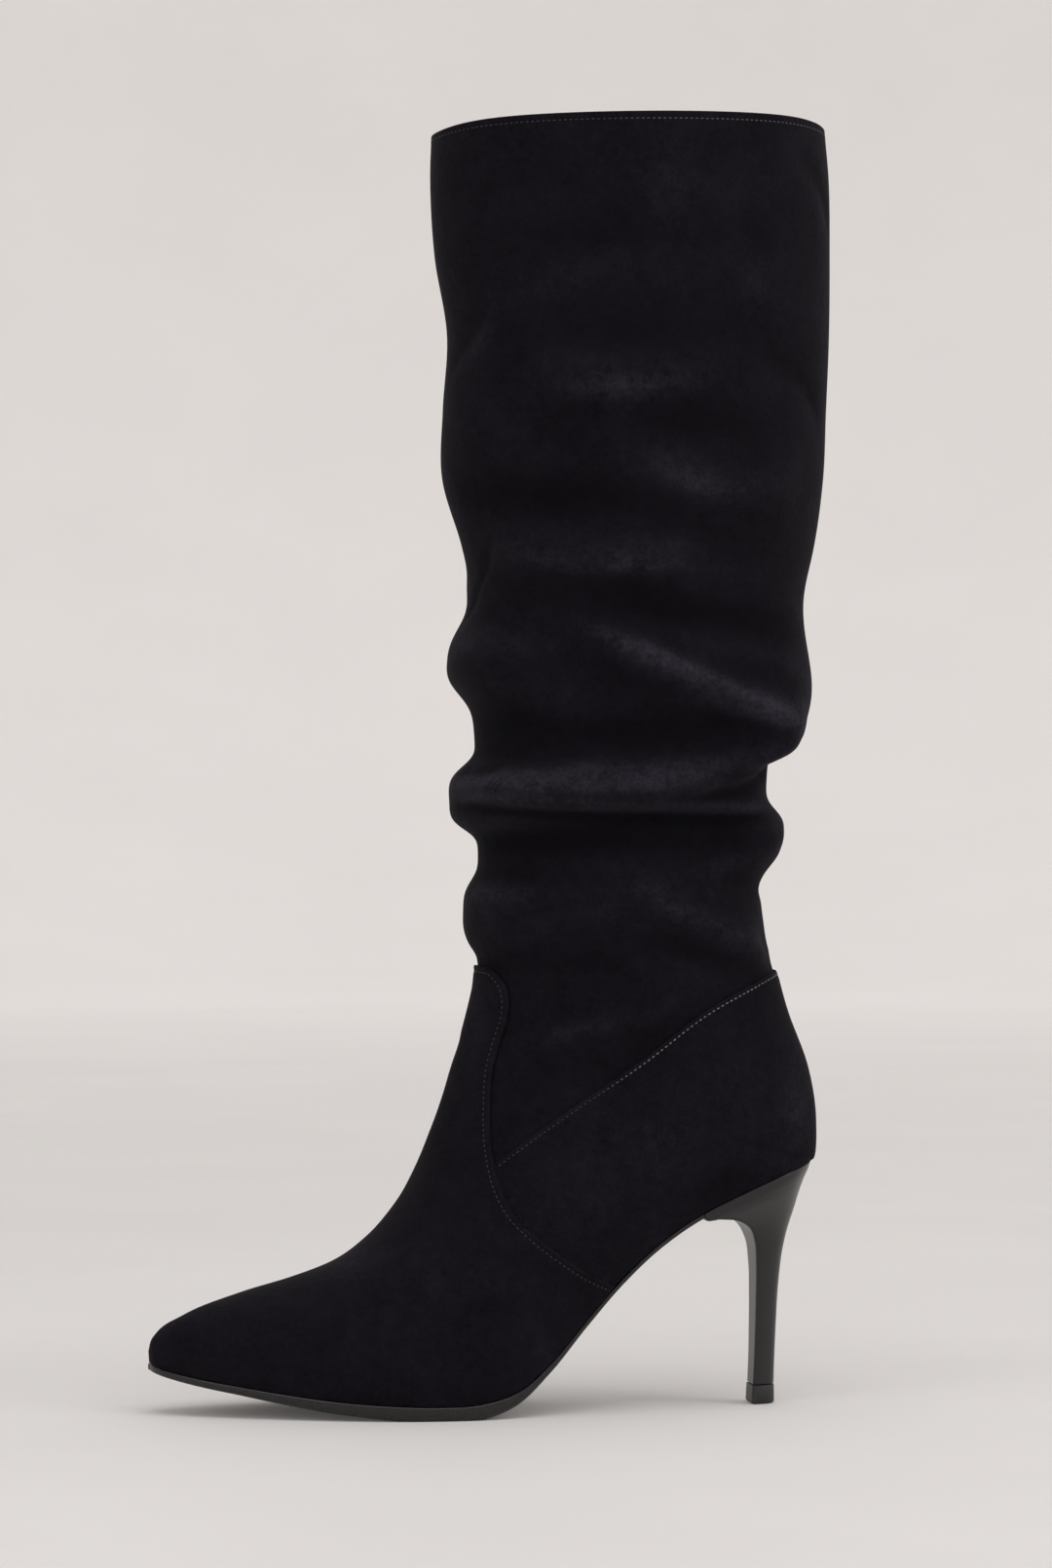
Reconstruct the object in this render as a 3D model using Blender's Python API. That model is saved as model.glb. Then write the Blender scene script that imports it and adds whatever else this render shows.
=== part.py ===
"""Slouch boot, left foot: a hollow suede upper with its vamp and counter, on a sole, insole and tall thin heel.

Millimetres until the meshes are made. +Z is up, the toe points to -X and the outer side of the foot is -Y.
"""

import math
from collections import namedtuple

import bpy
import numpy as np

# Driving sizes, in millimetres
MM = 0.001
WALL = 1.6
GAP = 0.3
SKIN = 0.9
COLUMNS = 24
CENTRE_X = 1.05
CENTRE_Y = -0.3
INSOLE_INSET = 3.8
INSOLE_THICKNESS = 2.0
BREAST_X = 76.4
HEEL_TIP_HEIGHT = 7.0

# The line where the upper meets the sole: height, and distance from the middle plane on each side
Feather = namedtuple("Feather", "name x z outer inner")
FEATHER = [
    Feather("toe tip", -124.8, 18.4, 3.0, 3.0),
    Feather("toe nose", -124.0, 17.9, -0.2, 6.2),
    Feather("toe round", -121.5, 17.0, -3.8, 9.6),
    Feather("toe quarter", -116.0, 15.6, -8.0, 13.2),
    Feather("toe box", -107.0, 13.8, -13.0, 17.4),
    Feather("toe half", -95.0, 11.9, -18.6, 22.0),
    Feather("vamp front", -80.0, 9.7, -25.0, 27.2),
    Feather("joint front", -62.0, 7.4, -31.2, 32.2),
    Feather("inner joint", -44.0, 6.0, -35.8, 35.2),
    Feather("outer joint", -24.0, 5.3, -38.4, 35.6),
    Feather("tread back", -8.0, 5.9, -37.6, 32.6),
    Feather("waist start", 6.0, 9.7, -34.6, 28.0),
    Feather("waist low", 18.0, 19.0, -31.2, 23.8),
    Feather("waist", 32.0, 34.2, -27.8, 20.4),
    Feather("waist high", 46.0, 49.4, -25.6, 19.0),
    Feather("waist end", 60.0, 62.0, -24.6, 19.4),
    Feather("seat front", 74.0, 71.6, -24.8, 20.8),
    Feather("seat", 88.0, 78.6, -25.4, 22.8),
    Feather("seat middle", 98.0, 83.0, -24.9, 23.4),
    Feather("seat round", 107.0, 86.6, -22.6, 21.8),
    Feather("seat back", 113.5, 88.8, -18.6, 18.2),
    Feather("seat turn", 117.9, 90.0, -12.6, 12.4),
    Feather("seat near", 120.3, 90.5, -5.8, 5.8),
    Feather("seat end", 121.0, 90.6, 0.0, 0.0),
]

# Sections of the upper from toe to collar. Those of the foot stand on the feather line, the leg's are closed rings
Section = namedtuple(
    "Section", "name steps back_x back_z front_x front_z front_y outer inner back_full front_full"
)
FOOT = [
    Section("toe tip", 1, -124.8, 0, -125.1, 22.6, 3.0, 0.6, 0.6, 1.0, 1.0),
    Section("toe nose", 1, -124.0, 0, -124.3, 26.0, 3.0, 3.6, 3.6, 1.0, 0.95),
    Section("toe round", 1, -121.4, 0, -121.8, 29.6, 3.0, 7.3, 7.3, 1.0, 0.95),
    Section("toe box", 2, -112.0, 0, -112.6, 35.4, 2.8, 13.4, 13.4, 1.0, 0.95),
    Section("toe half", 1, -90.0, 0, -91.0, 43.6, 2.6, 23.6, 24.0, 1.0, 0.95),
    Section("vamp front", 1, -70.0, 0, -72.0, 49.1, 2.6, 30.4, 30.8, 1.0, 0.98),
    Section("joint front", 2, -50.0, 0, -57.2, 54.6, 2.8, 36.2, 36.0, 1.0, 1.0),
    Section("joint", 2, -20.0, 0, -44.4, 63.8, 3.0, 39.2, 38.2, 1.0, 1.05),
    Section("instep low", 2, 12.0, 0, -34.4, 75.4, 3.0, 37.0, 34.6, 1.0, 1.08),
    Section("instep", 2, 43.0, 0, -27.0, 88.4, 3.0, 34.0, 32.2, 0.95, 1.08),
    Section("instep high", 2, 74.0, 0, -21.8, 101.0, 2.6, 32.6, 31.8, 0.8, 1.08),
    Section("seat", 2, 98.0, 0, -17.9, 111.6, 2.2, 31.0, 30.6, 0.68, 1.05),
    Section("seat round", 1, 110.5, 0, -15.6, 119.0, 1.8, 30.4, 30.2, 0.65, 1.05),
    Section("seat turn", 1, 117.3, 0, -14.0, 124.6, 1.6, 30.0, 29.8, 0.64, 1.05),
    Section("seat near", 1, 120.2, 0, -12.8, 128.4, 1.4, 29.9, 29.7, 0.64, 1.05),
]
LEG = [
    Section("heel back", 2, 121.0, 90.6, -11.9, 131.0, 1.2, 29.8, 29.6, 0.64, 1.05),
    Section("counter low", 2, 122.4, 106.0, -9.7, 139.5, 1.0, 29.8, 29.6, 0.68, 1.05),
    Section("counter middle", 2, 119.6, 125.0, -7.6, 147.5, 0.8, 30.2, 30.0, 0.76, 1.0),
    Section("counter high", 2, 112.4, 145.0, -5.8, 155.5, 0.6, 31.2, 31.0, 0.86, 1.0),
    Section("counter top", 1, 107.0, 163.0, -4.5, 164.8, 0.4, 32.6, 32.4, 0.93, 1.0),
    Section("leg start", 2, 105.2, 167.5, -4.2, 169.0, 0.3, 33.0, 33.0, 0.97, 1.0),
    Section("ankle", 2, 102.8, 180.0, -3.8, 182.0, 0.0, 33.6, 33.6, 1.0, 1.0),
    Section("ankle high", 4, 101.6, 193.0, -3.6, 195.0, 0.0, 34.5, 34.5, 1.0, 1.0),
    Section("calf low", 4, 103.2, 216.0, -4.0, 219.0, 0.0, 36.0, 36.0, 1.0, 1.0),
    Section("fold zone", 4, 104.9, 239.0, -4.7, 242.0, 0.0, 38.0, 38.0, 1.0, 1.0),
    Section("calf middle", 4, 110.6, 264.0, -6.0, 266.0, 0.0, 40.0, 40.0, 1.0, 1.0),
    Section("calf high", 3, 115.4, 297.0, -5.0, 297.0, 0.0, 42.0, 42.0, 1.0, 1.0),
    Section("swell low", 2, 121.6, 318.0, -9.7, 318.0, 0.0, 43.5, 43.5, 1.0, 1.0),
    Section("swell", 2, 125.4, 343.0, -17.0, 343.0, 0.0, 44.5, 44.5, 1.0, 1.0),
    Section("swell high", 2, 126.5, 368.0, -16.7, 368.0, 0.0, 45.0, 45.0, 1.0, 1.0),
    Section("dip", 2, 127.6, 395.0, -15.1, 395.0, 0.0, 45.5, 45.5, 1.0, 1.0),
    Section("high", 2, 127.9, 425.0, -19.8, 425.0, 0.0, 46.0, 46.0, 1.0, 1.0),
    Section("collar low", 1, 127.5, 455.0, -21.4, 453.0, 0.0, 46.0, 46.0, 1.0, 1.0),
    Section("collar", 1, 126.0, 474.6, -21.0, 470.8, 0.0, 45.6, 45.6, 1.0, 1.0),
]

# Folds of the leg: each runs round the leg through three places, as an angle from the front and a height
Fold = namedtuple("Fold", "name a0 z0 a1 z1 a2 z2 rise above below droop")
FOLDS = [
    Fold("high front roll", -85, 268, 0, 277, 74, 262, 9.2, 13, 14, 0.0),
    Fold("crease roll front", -90, 236, 0, 224, 100, 231, 10.2, 12, 10, 1.0),
    Fold("crease roll side", 60, 231, 110, 235, 172, 247, 4.5, 12, 8, 1.5),
    Fold("crease lip", 20, 229, 85, 225, 175, 225, 3.6, 8, 4, 1.5),
    Fold("back overhang", 112, 258, 180, 248, 246, 260, 12.2, 36, 3.5, 2.0),
    Fold("long diagonal", 52, 293, 105, 269, 172, 250, 4.5, 8, 13, 0.5),
    Fold("back bump", 118, 212, 180, 213, 240, 212, 8.6, 8, 14, 0.5),
    Fold("low front roll", -75, 178, 0, 185, 66, 181, 5.4, 12, 12, 0.0),
    Fold("low diagonal", 84, 197, 120, 179, 164, 169, 3.2, 9, 8, 0.0),
    Fold("upper band", 45, 382, 85, 376, 120, 386, 2.4, 12, 14, 0.0),
    Fold("upper diagonal", 76, 354, 108, 337, 150, 348, 2.4, 12, 12, 0.0),
    Fold("level band", 20, 316, 67, 311, 110, 315, 2.8, 10, 9, 0.0),
    Fold("hollow under crease", 10, 213, 95, 208, 168, 208, -3.0, 7, 11, 0.0),
    Fold("hollow in diagonal", 40, 250, 95, 247, 155, 251, -3.0, 8, 8, 0.0),
    Fold("hollow over diagonal", 60, 300, 112, 290, 168, 281, -2.4, 9, 8, 0.0),
    Fold("hollow over band", 12, 335, 66, 331, 115, 322, -2.0, 10, 9, 0.0),
    Fold("inner diagonal", -176, 250, -110, 266, -50, 288, 4.0, 9, 13, 0.5),
    Fold("inner crease roll", -176, 243, -110, 234, -60, 232, 4.2, 12, 8, 1.0),
    Fold("inner hollow", -168, 208, -95, 209, -15, 212, -2.6, 8, 11, 0.0),
    Fold("inner low roll", -160, 170, -110, 180, -70, 195, 3.0, 9, 9, 0.0),
    Fold("inner band", -120, 318, -70, 312, -20, 317, 2.4, 11, 10, 0.0),
    Fold("inner upper band", -140, 352, -95, 342, -50, 356, 2.2, 13, 12, 0.0),
]

# Edge of the vamp and top line of the counter, in side view
Seam = namedtuple("Seam", "name x z")
VAMP_EDGE = [
    Seam("front", -30.0, 163.3),
    Seam("top front", -5.0, 163.3),
    Seam("top", -1.2, 162.4),
    Seam("corner", 2.3, 159.1),
    Seam("below corner", 4.3, 155.3),
    Seam("upper side", 4.9, 146.5),
    Seam("side", 2.0, 135.5),
    Seam("lower side", -0.6, 125.7),
    Seam("straight", -1.8, 111.6),
    Seam("straight end", -1.7, 93.0),
    Seam("turn", -0.1, 84.3),
    Seam("sweep", 4.4, 74.4),
    Seam("sweep back", 12.2, 66.2),
    Seam("run out", 22.4, 58.2),
    Seam("near sole", 32.9, 51.4),
    Seam("at sole", 42.0, 47.0),
    Seam("past sole", 60.0, 38.0),
]
COUNTER_EDGE = [
    Seam("behind", 140.0, 161.0),
    Seam("back", 107.0, 161.0),
    Seam("upper", 91.9, 154.9),
    Seam("upper side", 79.0, 148.5),
    Seam("side", 51.0, 128.2),
    Seam("lower side", 26.5, 111.5),
    Seam("lower", 11.5, 101.0),
    Seam("at vamp", -1.0, 92.0),
    Seam("under vamp", -12.0, 84.0),
]

# Thickness of the sole along its length
Sole = namedtuple("Sole", "name x thickness edge bevel")
SOLE = [
    Sole("toe", -126.0, 2.2, 1.0, 1.0),
    Sole("toe half", -95.0, 2.9, 1.0, 1.4),
    Sole("joint front", -62.0, 4.3, 1.1, 1.8),
    Sole("tread front", -48.0, 4.8, 1.1, 2.0),
    Sole("tread", -34.0, 5.5, 1.1, 2.0),
    Sole("tread back", -8.0, 5.8, 0.9, 2.0),
    Sole("waist start", 6.0, 4.6, 0.6, 1.8),
    Sole("waist low", 18.0, 3.4, 0.4, 1.6),
    Sole("waist", 32.0, 2.6, 0.1, 1.4),
    Sole("waist end", 60.0, 2.2, 0.0, 1.2),
    Sole("breast", 78.0, 2.0, 0.0, 1.2),
]

# Rings of the heel from the seat down to the top piece
Ring = namedtuple("Ring", "name front_x front_z back_x back_z half seat")
HEEL = [
    Ring("seat", 76.7, 0, 120.8, 0, 24.0, 1.0),
    Ring("lip", 77.2, 69.8, 120.1, 88.2, 23.4, 1.0),
    Ring("arch front", 82.5, 70.2, 118.0, 83.6, 20.2, 0.75),
    Ring("arch", 89.5, 69.4, 116.2, 78.4, 15.8, 0.45),
    Ring("arch back", 95.4, 66.2, 114.6, 72.6, 12.2, 0.2),
    Ring("neck", 98.2, 60.5, 112.4, 65.6, 9.8, 0.05),
    Ring("stem high", 99.1, 52.0, 110.4, 57.0, 8.3, 0.0),
    Ring("stem", 99.2, 41.0, 108.9, 45.0, 7.3, 0.0),
    Ring("stem low", 99.0, 28.0, 108.0, 30.5, 6.6, 0.0),
    Ring("stem thin", 98.7, 16.0, 107.4, 17.0, 6.1, 0.0),
    Ring("stem end", 98.3, HEEL_TIP_HEIGHT + GAP, 107.1, HEEL_TIP_HEIGHT + GAP, 5.9, 0.0),
]
TOP_PIECE = [
    Ring("top", 98.1, HEEL_TIP_HEIGHT, 107.2, HEEL_TIP_HEIGHT, 6.1, 0.0),
    Ring("foot", 97.8, 0.8, 107.3, 0.8, 6.3, 0.0),
    Ring("ground", 98.4, 0.0, 106.7, 0.0, 5.7, 0.0),
]


def through(knots, values, at):
    """A smooth line through every row of values, its slopes taken from the rows on each side."""
    knots = np.asarray(knots, float)
    values = np.asarray(values, float)
    at = np.asarray(at, float)
    slope = np.gradient(values, knots, axis=0)
    i = np.clip(np.searchsorted(knots, at, side="right") - 1, 0, len(knots) - 2)
    width = (knots[i + 1] - knots[i])[:, None]
    t = ((at - knots[i]) / width[:, 0])[:, None]
    start = (2 * t**3 - 3 * t**2 + 1) * values[i] + (t**3 - 2 * t**2 + t) * width * slope[i]
    end = (3 * t**2 - 2 * t**3) * values[i + 1] + (t**3 - t**2) * width * slope[i + 1]
    return start + end


def lengths(points):
    steps = np.linalg.norm(np.diff(points, axis=0), axis=1)
    return np.concatenate([[0.0], np.cumsum(steps)])


def columns_of(rows):
    return np.array([row[1:] for row in rows], float)


def feather_line():
    """The feather line sampled finely, as x, z, outer and inner."""
    table = columns_of(FEATHER)
    knots = lengths(table)
    return through(knots, table, np.linspace(0, knots[-1], 40 * len(table)))


LINE = feather_line()


def feather_at(x):
    """Height, outer and inner distance of the feather line at each x."""
    return [np.interp(x, LINE[:, 0], LINE[:, k]) for k in (1, 2, 3)]


def section_rows():
    """One row of sizes for every ring of the mesh, and how many of them belong to the foot."""
    table = columns_of(FOOT + LEG)
    steps = table[:, 0].astype(int)
    table = table[:, 1:]
    foot = len(FOOT)
    table[:foot, 1] = feather_at(table[:foot, 0])[0]
    knots = (lengths(table[:, 0:2]) + lengths(table[:, 2:4])) / 2
    at = [
        knots[i] + (knots[i + 1] - knots[i]) * k / steps[i]
        for i in range(len(table) - 1)
        for k in range(steps[i])
    ]
    at = np.array(at + [knots[-1]])
    return through(knots, table, at), int(steps[:foot].sum())


def fold_push(angle, z):
    """How far the folds push a place of the leg outwards, and how far it sags."""
    push = np.zeros_like(z)
    sag = np.zeros_like(z)
    for fold in FOLDS:
        middle = (fold.a0 + fold.a2) / 2
        around = (angle - middle + 180) % 360 - 180 + middle
        u = (around - fold.a0) / (fold.a2 - fold.a0)
        bend = (fold.a1 - fold.a0) / (fold.a2 - fold.a0)
        line = (
            fold.z0 * (u - bend) * (u - 1) / bend
            + fold.z1 * u * (u - 1) / (bend * (bend - 1))
            + fold.z2 * u * (u - bend) / (1 - bend)
        )
        ends = np.clip(np.minimum(u, 1 - u) / 0.3, 0, 1)
        strength = ends * ends * (3 - 2 * ends)
        away = z - line
        reach = np.where(away > 0, fold.above, fold.below)
        shape = strength * np.exp(-((away / reach) ** 2))
        push += fold.rise * shape
        sag += fold.droop * shape
    return push, sag


def surface():
    """The boot's outer surface as a grid of points, rows from toe to collar and columns from outer to inner side."""
    rows, foot = section_rows()
    grid = np.zeros((len(rows), COLUMNS + 1, 3))
    half = COLUMNS // 2
    for r, row in enumerate(rows):
        back_x, back_z, front_x, front_z, front_y, wide_out, wide_in, back_full, front_full = row
        if r < foot:
            back_z, outer, inner = (float(v) for v in feather_at(back_x))
            back_y, foot_half = (outer + inner) / 2, (inner - outer) / 2
        else:
            back_y, foot_half = 0.0, 0.0
        for side, wide in ((-1, wide_out), (1, wide_in)):
            share = min(1.0, foot_half / wide)
            start = math.asin(share ** (1 / back_full))
            turn = start + (math.pi - start) * np.arange(half + 1) / half
            along = (math.cos(start) - np.cos(turn)) / (math.cos(start) + 1)
            full = np.where(turn < math.pi / 2, back_full, front_full)
            across = wide * np.abs(np.sin(turn)) ** full
            x = back_x + (front_x - back_x) * along
            z = back_z + (front_z - back_z) * along
            y = back_y + (front_y - back_y) * along + side * across
            if r >= foot:
                angle = 180 - np.degrees(turn) if side < 0 else np.degrees(turn) - 180
                push, sag = fold_push(angle, z)
                long = (back_x - front_x) / 2
                normal_x = -np.cos(np.radians(angle)) / long
                normal_y = side * np.abs(np.sin(np.radians(angle))) / wide
                size = np.hypot(normal_x, normal_y)
                x = x + push * normal_x / size
                y = y + push * normal_y / size
                z = z - sag
            columns = np.arange(half + 1) if side < 0 else COLUMNS - np.arange(half + 1)
            grid[r, columns] = np.stack([x, y, z], axis=1)
    return grid, foot


def grid_index(count, foot):
    """Vertex numbers of the grid, with the toe's first row folded together and the leg's rows closed at the back."""
    index = np.arange(count * (COLUMNS + 1)).reshape(count, COLUMNS + 1)
    index[0] = np.minimum(index[0], index[0, ::-1])
    index[foot:, COLUMNS] = index[foot:, 0]
    return index


def grid_faces(index, points):
    """Triangles of the grid, each quad split along its shorter diagonal so that every layer splits alike."""
    faces = []
    for r in range(len(index) - 1):
        for c in range(COLUMNS):
            a, b, d, e = index[r, c], index[r + 1, c], index[r + 1, c + 1], index[r, c + 1]
            if np.linalg.norm(points[a] - points[d]) < np.linalg.norm(points[b] - points[e]):
                pair = [[a, b, d], [a, d, e]]
            else:
                pair = [[a, b, e], [b, d, e]]
            faces += [face for face in pair if len(set(face)) == 3]
    return faces


def point_normals(points, faces):
    normals = np.zeros_like(points)
    for face in faces:
        corners = points[face]
        across = np.cross(corners[1] - corners[0], corners[2] - corners[0])
        normals[face] += across
    size = np.linalg.norm(normals, axis=1, keepdims=True)
    return normals / np.where(size > 0, size, 1)


def new_object(name, points, faces, material):
    mesh = bpy.data.meshes.new(name)
    shift = np.array([CENTRE_X, CENTRE_Y, 0.0])
    mesh.from_pydata(((points - shift) * MM).tolist(), [], [list(map(int, f)) for f in faces])
    mesh.validate()
    mesh.shade_smooth()
    mesh.set_sharp_from_angle(angle=math.radians(35))
    if material:
        mesh.materials.append(material)
    built = bpy.data.objects.new(name, mesh)
    bpy.context.scene.collection.objects.link(built)
    return built


def shell(name, outside, inside, faces, material):
    """A closed wall between two surfaces that share their faces."""
    used = sorted({v for face in faces for v in face})
    place = {v: k for k, v in enumerate(used)}
    faces = [[place[v] for v in face] for face in faces]
    count = len(used)
    edges = {}
    for face in faces:
        for k, v in enumerate(face):
            edges[(face[k - 1], v)] = True
    walls = [[b, a, a + count, b + count] for a, b in edges if (b, a) not in edges]
    inner = [[v + count for v in reversed(face)] for face in faces]
    points = np.concatenate([outside[used], inside[used]])
    return new_object(name, points, faces + inner + walls, material)


def seam_line(seam):
    table = columns_of(seam)
    knots = lengths(table)
    at = np.unique(np.concatenate([np.linspace(knots[i], knots[i + 1], 4) for i in range(len(knots) - 1)]))
    return through(knots, table, at)


def prism(name, outline):
    """A cutter standing across the boot, from an outline in side view."""
    count = len(outline)
    near = np.stack([outline[:, 0], np.full(count, -80.0), outline[:, 1]], axis=1)
    far = near + [0, 160.0, 0]
    area = np.sum(outline[:, 0] * np.roll(outline[:, 1], -1) - np.roll(outline[:, 0], -1) * outline[:, 1])
    points = np.concatenate([near, far] if area > 0 else [near[::-1], far[::-1]])
    sides = [[k, k + count, (k + 1) % count + count, (k + 1) % count] for k in range(count)]
    faces = [list(range(count)), list(range(2 * count - 1, count - 1, -1))] + sides
    cutter = new_object(name, points, faces, None)
    cutter.hide_render = True
    cutter.display_type = "WIRE"
    return cutter


def boolean(target, cutter, operation):
    step = target.modifiers.new(cutter.name, "BOOLEAN")
    step.object = cutter
    step.operation = operation
    step.solver = "EXACT"


def outline_normals(outline):
    """Outward directions in plan for a closed outline, level with the middle plane at its two ends."""
    ahead = np.roll(outline, -1, axis=0) - np.roll(outline, 1, axis=0)
    normals = np.stack([ahead[:, 1], -ahead[:, 0]], axis=1)
    area = np.sum(outline[:, 0] * np.roll(outline[:, 1], -1) - np.roll(outline[:, 0], -1) * outline[:, 1])
    normals = normals if area > 0 else -normals
    return normals / np.linalg.norm(normals, axis=1, keepdims=True)


def stacked(name, loops, tip_back, material):
    """A solid from closed loops laid from top to bottom. Each loop runs back to toe and back again to the rear."""
    count = len(loops[0])
    points = np.concatenate(loops)
    faces = []
    for k in range(len(loops) - 1):
        for i in range(count):
            j = (i + 1) % count
            faces.append([k * count + i, k * count + j, (k + 1) * count + j, (k + 1) * count + i])
    pairs = (count - 1) // 2
    for level, flip in ((0, True), (len(loops) - 1, False)):
        base = level * count
        shift = 1 if tip_back else 0
        left = [base + i for i in range(shift, shift + pairs)]
        right = [base + (count - 1 - i + shift) % count for i in range(shift, shift + pairs)]
        caps = [[a, b, c, d] for a, b, c, d in zip(left[:-1], left[1:], right[1:], right[:-1])]
        if tip_back:
            caps.append([base, left[0], right[0]])
        caps.append([left[-1], base + shift + pairs, right[-1]])
        faces += [cap[::-1] if flip else cap for cap in caps]
    area = np.sum(loops[0][:, 0] * np.roll(loops[0][:, 1], -1) - np.roll(loops[0][:, 0], -1) * loops[0][:, 1])
    if area > 0:
        faces = [face[::-1] for face in faces]
    return new_object(name, points, faces, material)


def stations_to(rear):
    """Places along the feather line from the rear to the toe, with one more halfway in each long step."""
    marks = [rear] + [row.x for row in reversed(FEATHER) if row.x < rear - 1]
    halfway = [(a + b) / 2 for a, b in zip(marks[:-1], marks[1:]) if a - b > 7]
    return np.array(sorted(marks + halfway, reverse=True))


def plan_loop(stations, tip_back):
    """Loop round the feather line in plan, from the rear along the outer side to the toe and back along the inner."""
    height, outer, inner = feather_at(stations)
    first = 1 if tip_back else 0
    outer_side = np.stack([stations, outer, height], axis=1)[first:]
    inner_side = np.stack([stations, inner, height], axis=1)[first:-1][::-1]
    if not tip_back:
        return np.concatenate([outer_side, inner_side])
    end = [[stations[0], (outer[0] + inner[0]) / 2, height[0]]]
    return np.concatenate([end, outer_side, inner_side])


def build_sole(material):
    table = columns_of(SOLE)
    stations = stations_to(BREAST_X)
    loop = plan_loop(stations, False)
    thickness, edge, bevel = (np.interp(loop[:, 0], table[:, 0], table[:, k]) for k in (1, 2, 3))
    normals = outline_normals(loop[:, :2])
    rear = loop[:, 0] > BREAST_X - 0.01
    normals[rear] = np.stack([np.zeros(rear.sum()), np.sign(loop[rear, 1])], axis=1)
    levels = []
    for out, depth in ((edge, 0.0), (edge, 0.6), (edge - 0.35 * bevel, 0.85), (edge - bevel, 1.0)):
        moved = loop[:, :2] + normals * out[:, None]
        top = feather_at(moved[:, 0])[0] - GAP
        bottom = np.maximum(top - thickness, 0.0)
        levels.append(np.column_stack([moved, top - depth * (top - bottom)]))
    return stacked("outsole", levels, False, material)


def build_insole(material):
    stations = stations_to(FEATHER[-1].x)
    loop = plan_loop(stations, True)
    inset = loop[:, :2] - outline_normals(loop[:, :2]) * INSOLE_INSET
    lower = np.column_stack([inset, feather_at(inset[:, 0])[0] + 0.05])
    upper = lower + [0, 0, INSOLE_THICKNESS]
    return stacked("insole", [upper, lower], True, material)


def heel_loop(ring, first):
    """One ring of the heel: straight across the breast, round behind."""
    turn = np.radians(np.linspace(0, 90, 9))
    share = np.sin(turn)
    x = ring.front_x + (ring.back_x - ring.front_x) * share
    seat_x = HEEL[0].front_x + (LINE[-1, 0] - HEEL[0].front_x) * share
    height, outer, inner = feather_at(seat_x)
    round_half = ring.half * np.cos(turn) ** 0.92
    outer_y = ring.seat * (outer + 0.2) - (1 - ring.seat) * round_half
    inner_y = ring.seat * (inner - 0.2) + (1 - ring.seat) * round_half
    outer_y[-1] = inner_y[-1] = 0.0
    sag = height - np.interp(share, [0, 1], [height[0], height[-1]])
    z = height - GAP if first else ring.front_z + (ring.back_z - ring.front_z) * share + ring.seat * sag
    outer_side = np.stack([x, outer_y, z], axis=1)
    inner_side = np.stack([x, inner_y, z], axis=1)
    return np.concatenate([outer_side, inner_side[:-1][::-1]])


def build_heel(material):
    return stacked("heel", [heel_loop(ring, k == 0) for k, ring in enumerate(HEEL)], False, material)


def build_top_piece(material):
    return stacked("top_piece", [heel_loop(ring, False) for ring in TOP_PIECE], False, material)


def colour(name, red, green, blue, roughness):
    made = bpy.data.materials.new(name)
    made.use_nodes = True
    shader = made.node_tree.nodes["Principled BSDF"]
    shader.inputs["Base Color"].default_value = (red, green, blue, 1.0)
    shader.inputs["Roughness"].default_value = roughness
    return made


def build_upper(suede):
    """The hollow upper, and the vamp and counter cut from larger skins of the same surface."""
    grid, foot = surface()
    index = grid_index(len(grid), foot)
    points = grid.reshape(-1, 3)
    faces = grid_faces(index, points)
    normals = point_normals(points, faces)
    names = [row.name for row in FOOT + LEG]
    steps = np.cumsum([0] + [row.steps for row in FOOT + LEG])
    joint = int(steps[names.index("counter top")])
    depth = np.where(np.arange(len(grid)) <= joint, SKIN + GAP, 0.0)
    depth = np.repeat(depth, COLUMNS + 1)[:, None]
    outside = points - normals * depth
    shell("upper", outside, outside - normals * WALL, faces, suede)

    def in_rows(face, first, last):
        rows = [v // (COLUMNS + 1) for v in face]
        return min(rows) >= first and max(rows) <= last

    skins = [face for face in faces if in_rows(face, 0, joint)]
    vamp = shell("vamp", points, points - normals * SKIN, skins, suede)
    counter = shell("counter", points, points - normals * SKIN, skins, suede)
    edge = seam_line(VAMP_EDGE)
    front = np.array([[60.0, -20.0], [-160.0, -20.0], [-160.0, edge[0, 1]]])
    boolean(vamp, prism("vamp_cutter", np.concatenate([edge, front])), "INTERSECT")
    low = edge[edge[:, 1] < 100] + [GAP + 0.1, 0.15]
    top = seam_line(COUNTER_EDGE)
    top = top[top[:, 0] > low[0, 0] + 0.5]
    behind = np.array([[140.0, low[-1, 1]]])
    boolean(counter, prism("counter_cutter", np.concatenate([top, low, behind])), "INTERSECT")


def main():
    for old in list(bpy.data.objects):
        bpy.data.objects.remove(old, do_unlink=True)
    suede = colour("black suede", 0.02, 0.018, 0.022, 0.9)
    leather = colour("black insole leather", 0.03, 0.028, 0.03, 0.6)
    sole = colour("black sole", 0.015, 0.015, 0.016, 0.35)
    heel = colour("black heel plastic", 0.02, 0.02, 0.022, 0.3)
    rubber = colour("black rubber", 0.02, 0.02, 0.02, 0.6)
    build_upper(suede)
    build_sole(sole)
    build_insole(leather)
    build_heel(heel)
    build_top_piece(rubber)


main()
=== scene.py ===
"""Slouch boot, left foot: black suede, pointed toe, thin sole and tall thin heel.

The tables are in millimetres, the meshes in metres. +Z is up, the toe points to -X and the outer side is -Y.
"""

import math
from collections import namedtuple

import bpy
import numpy as np
from mathutils import Matrix


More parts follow.
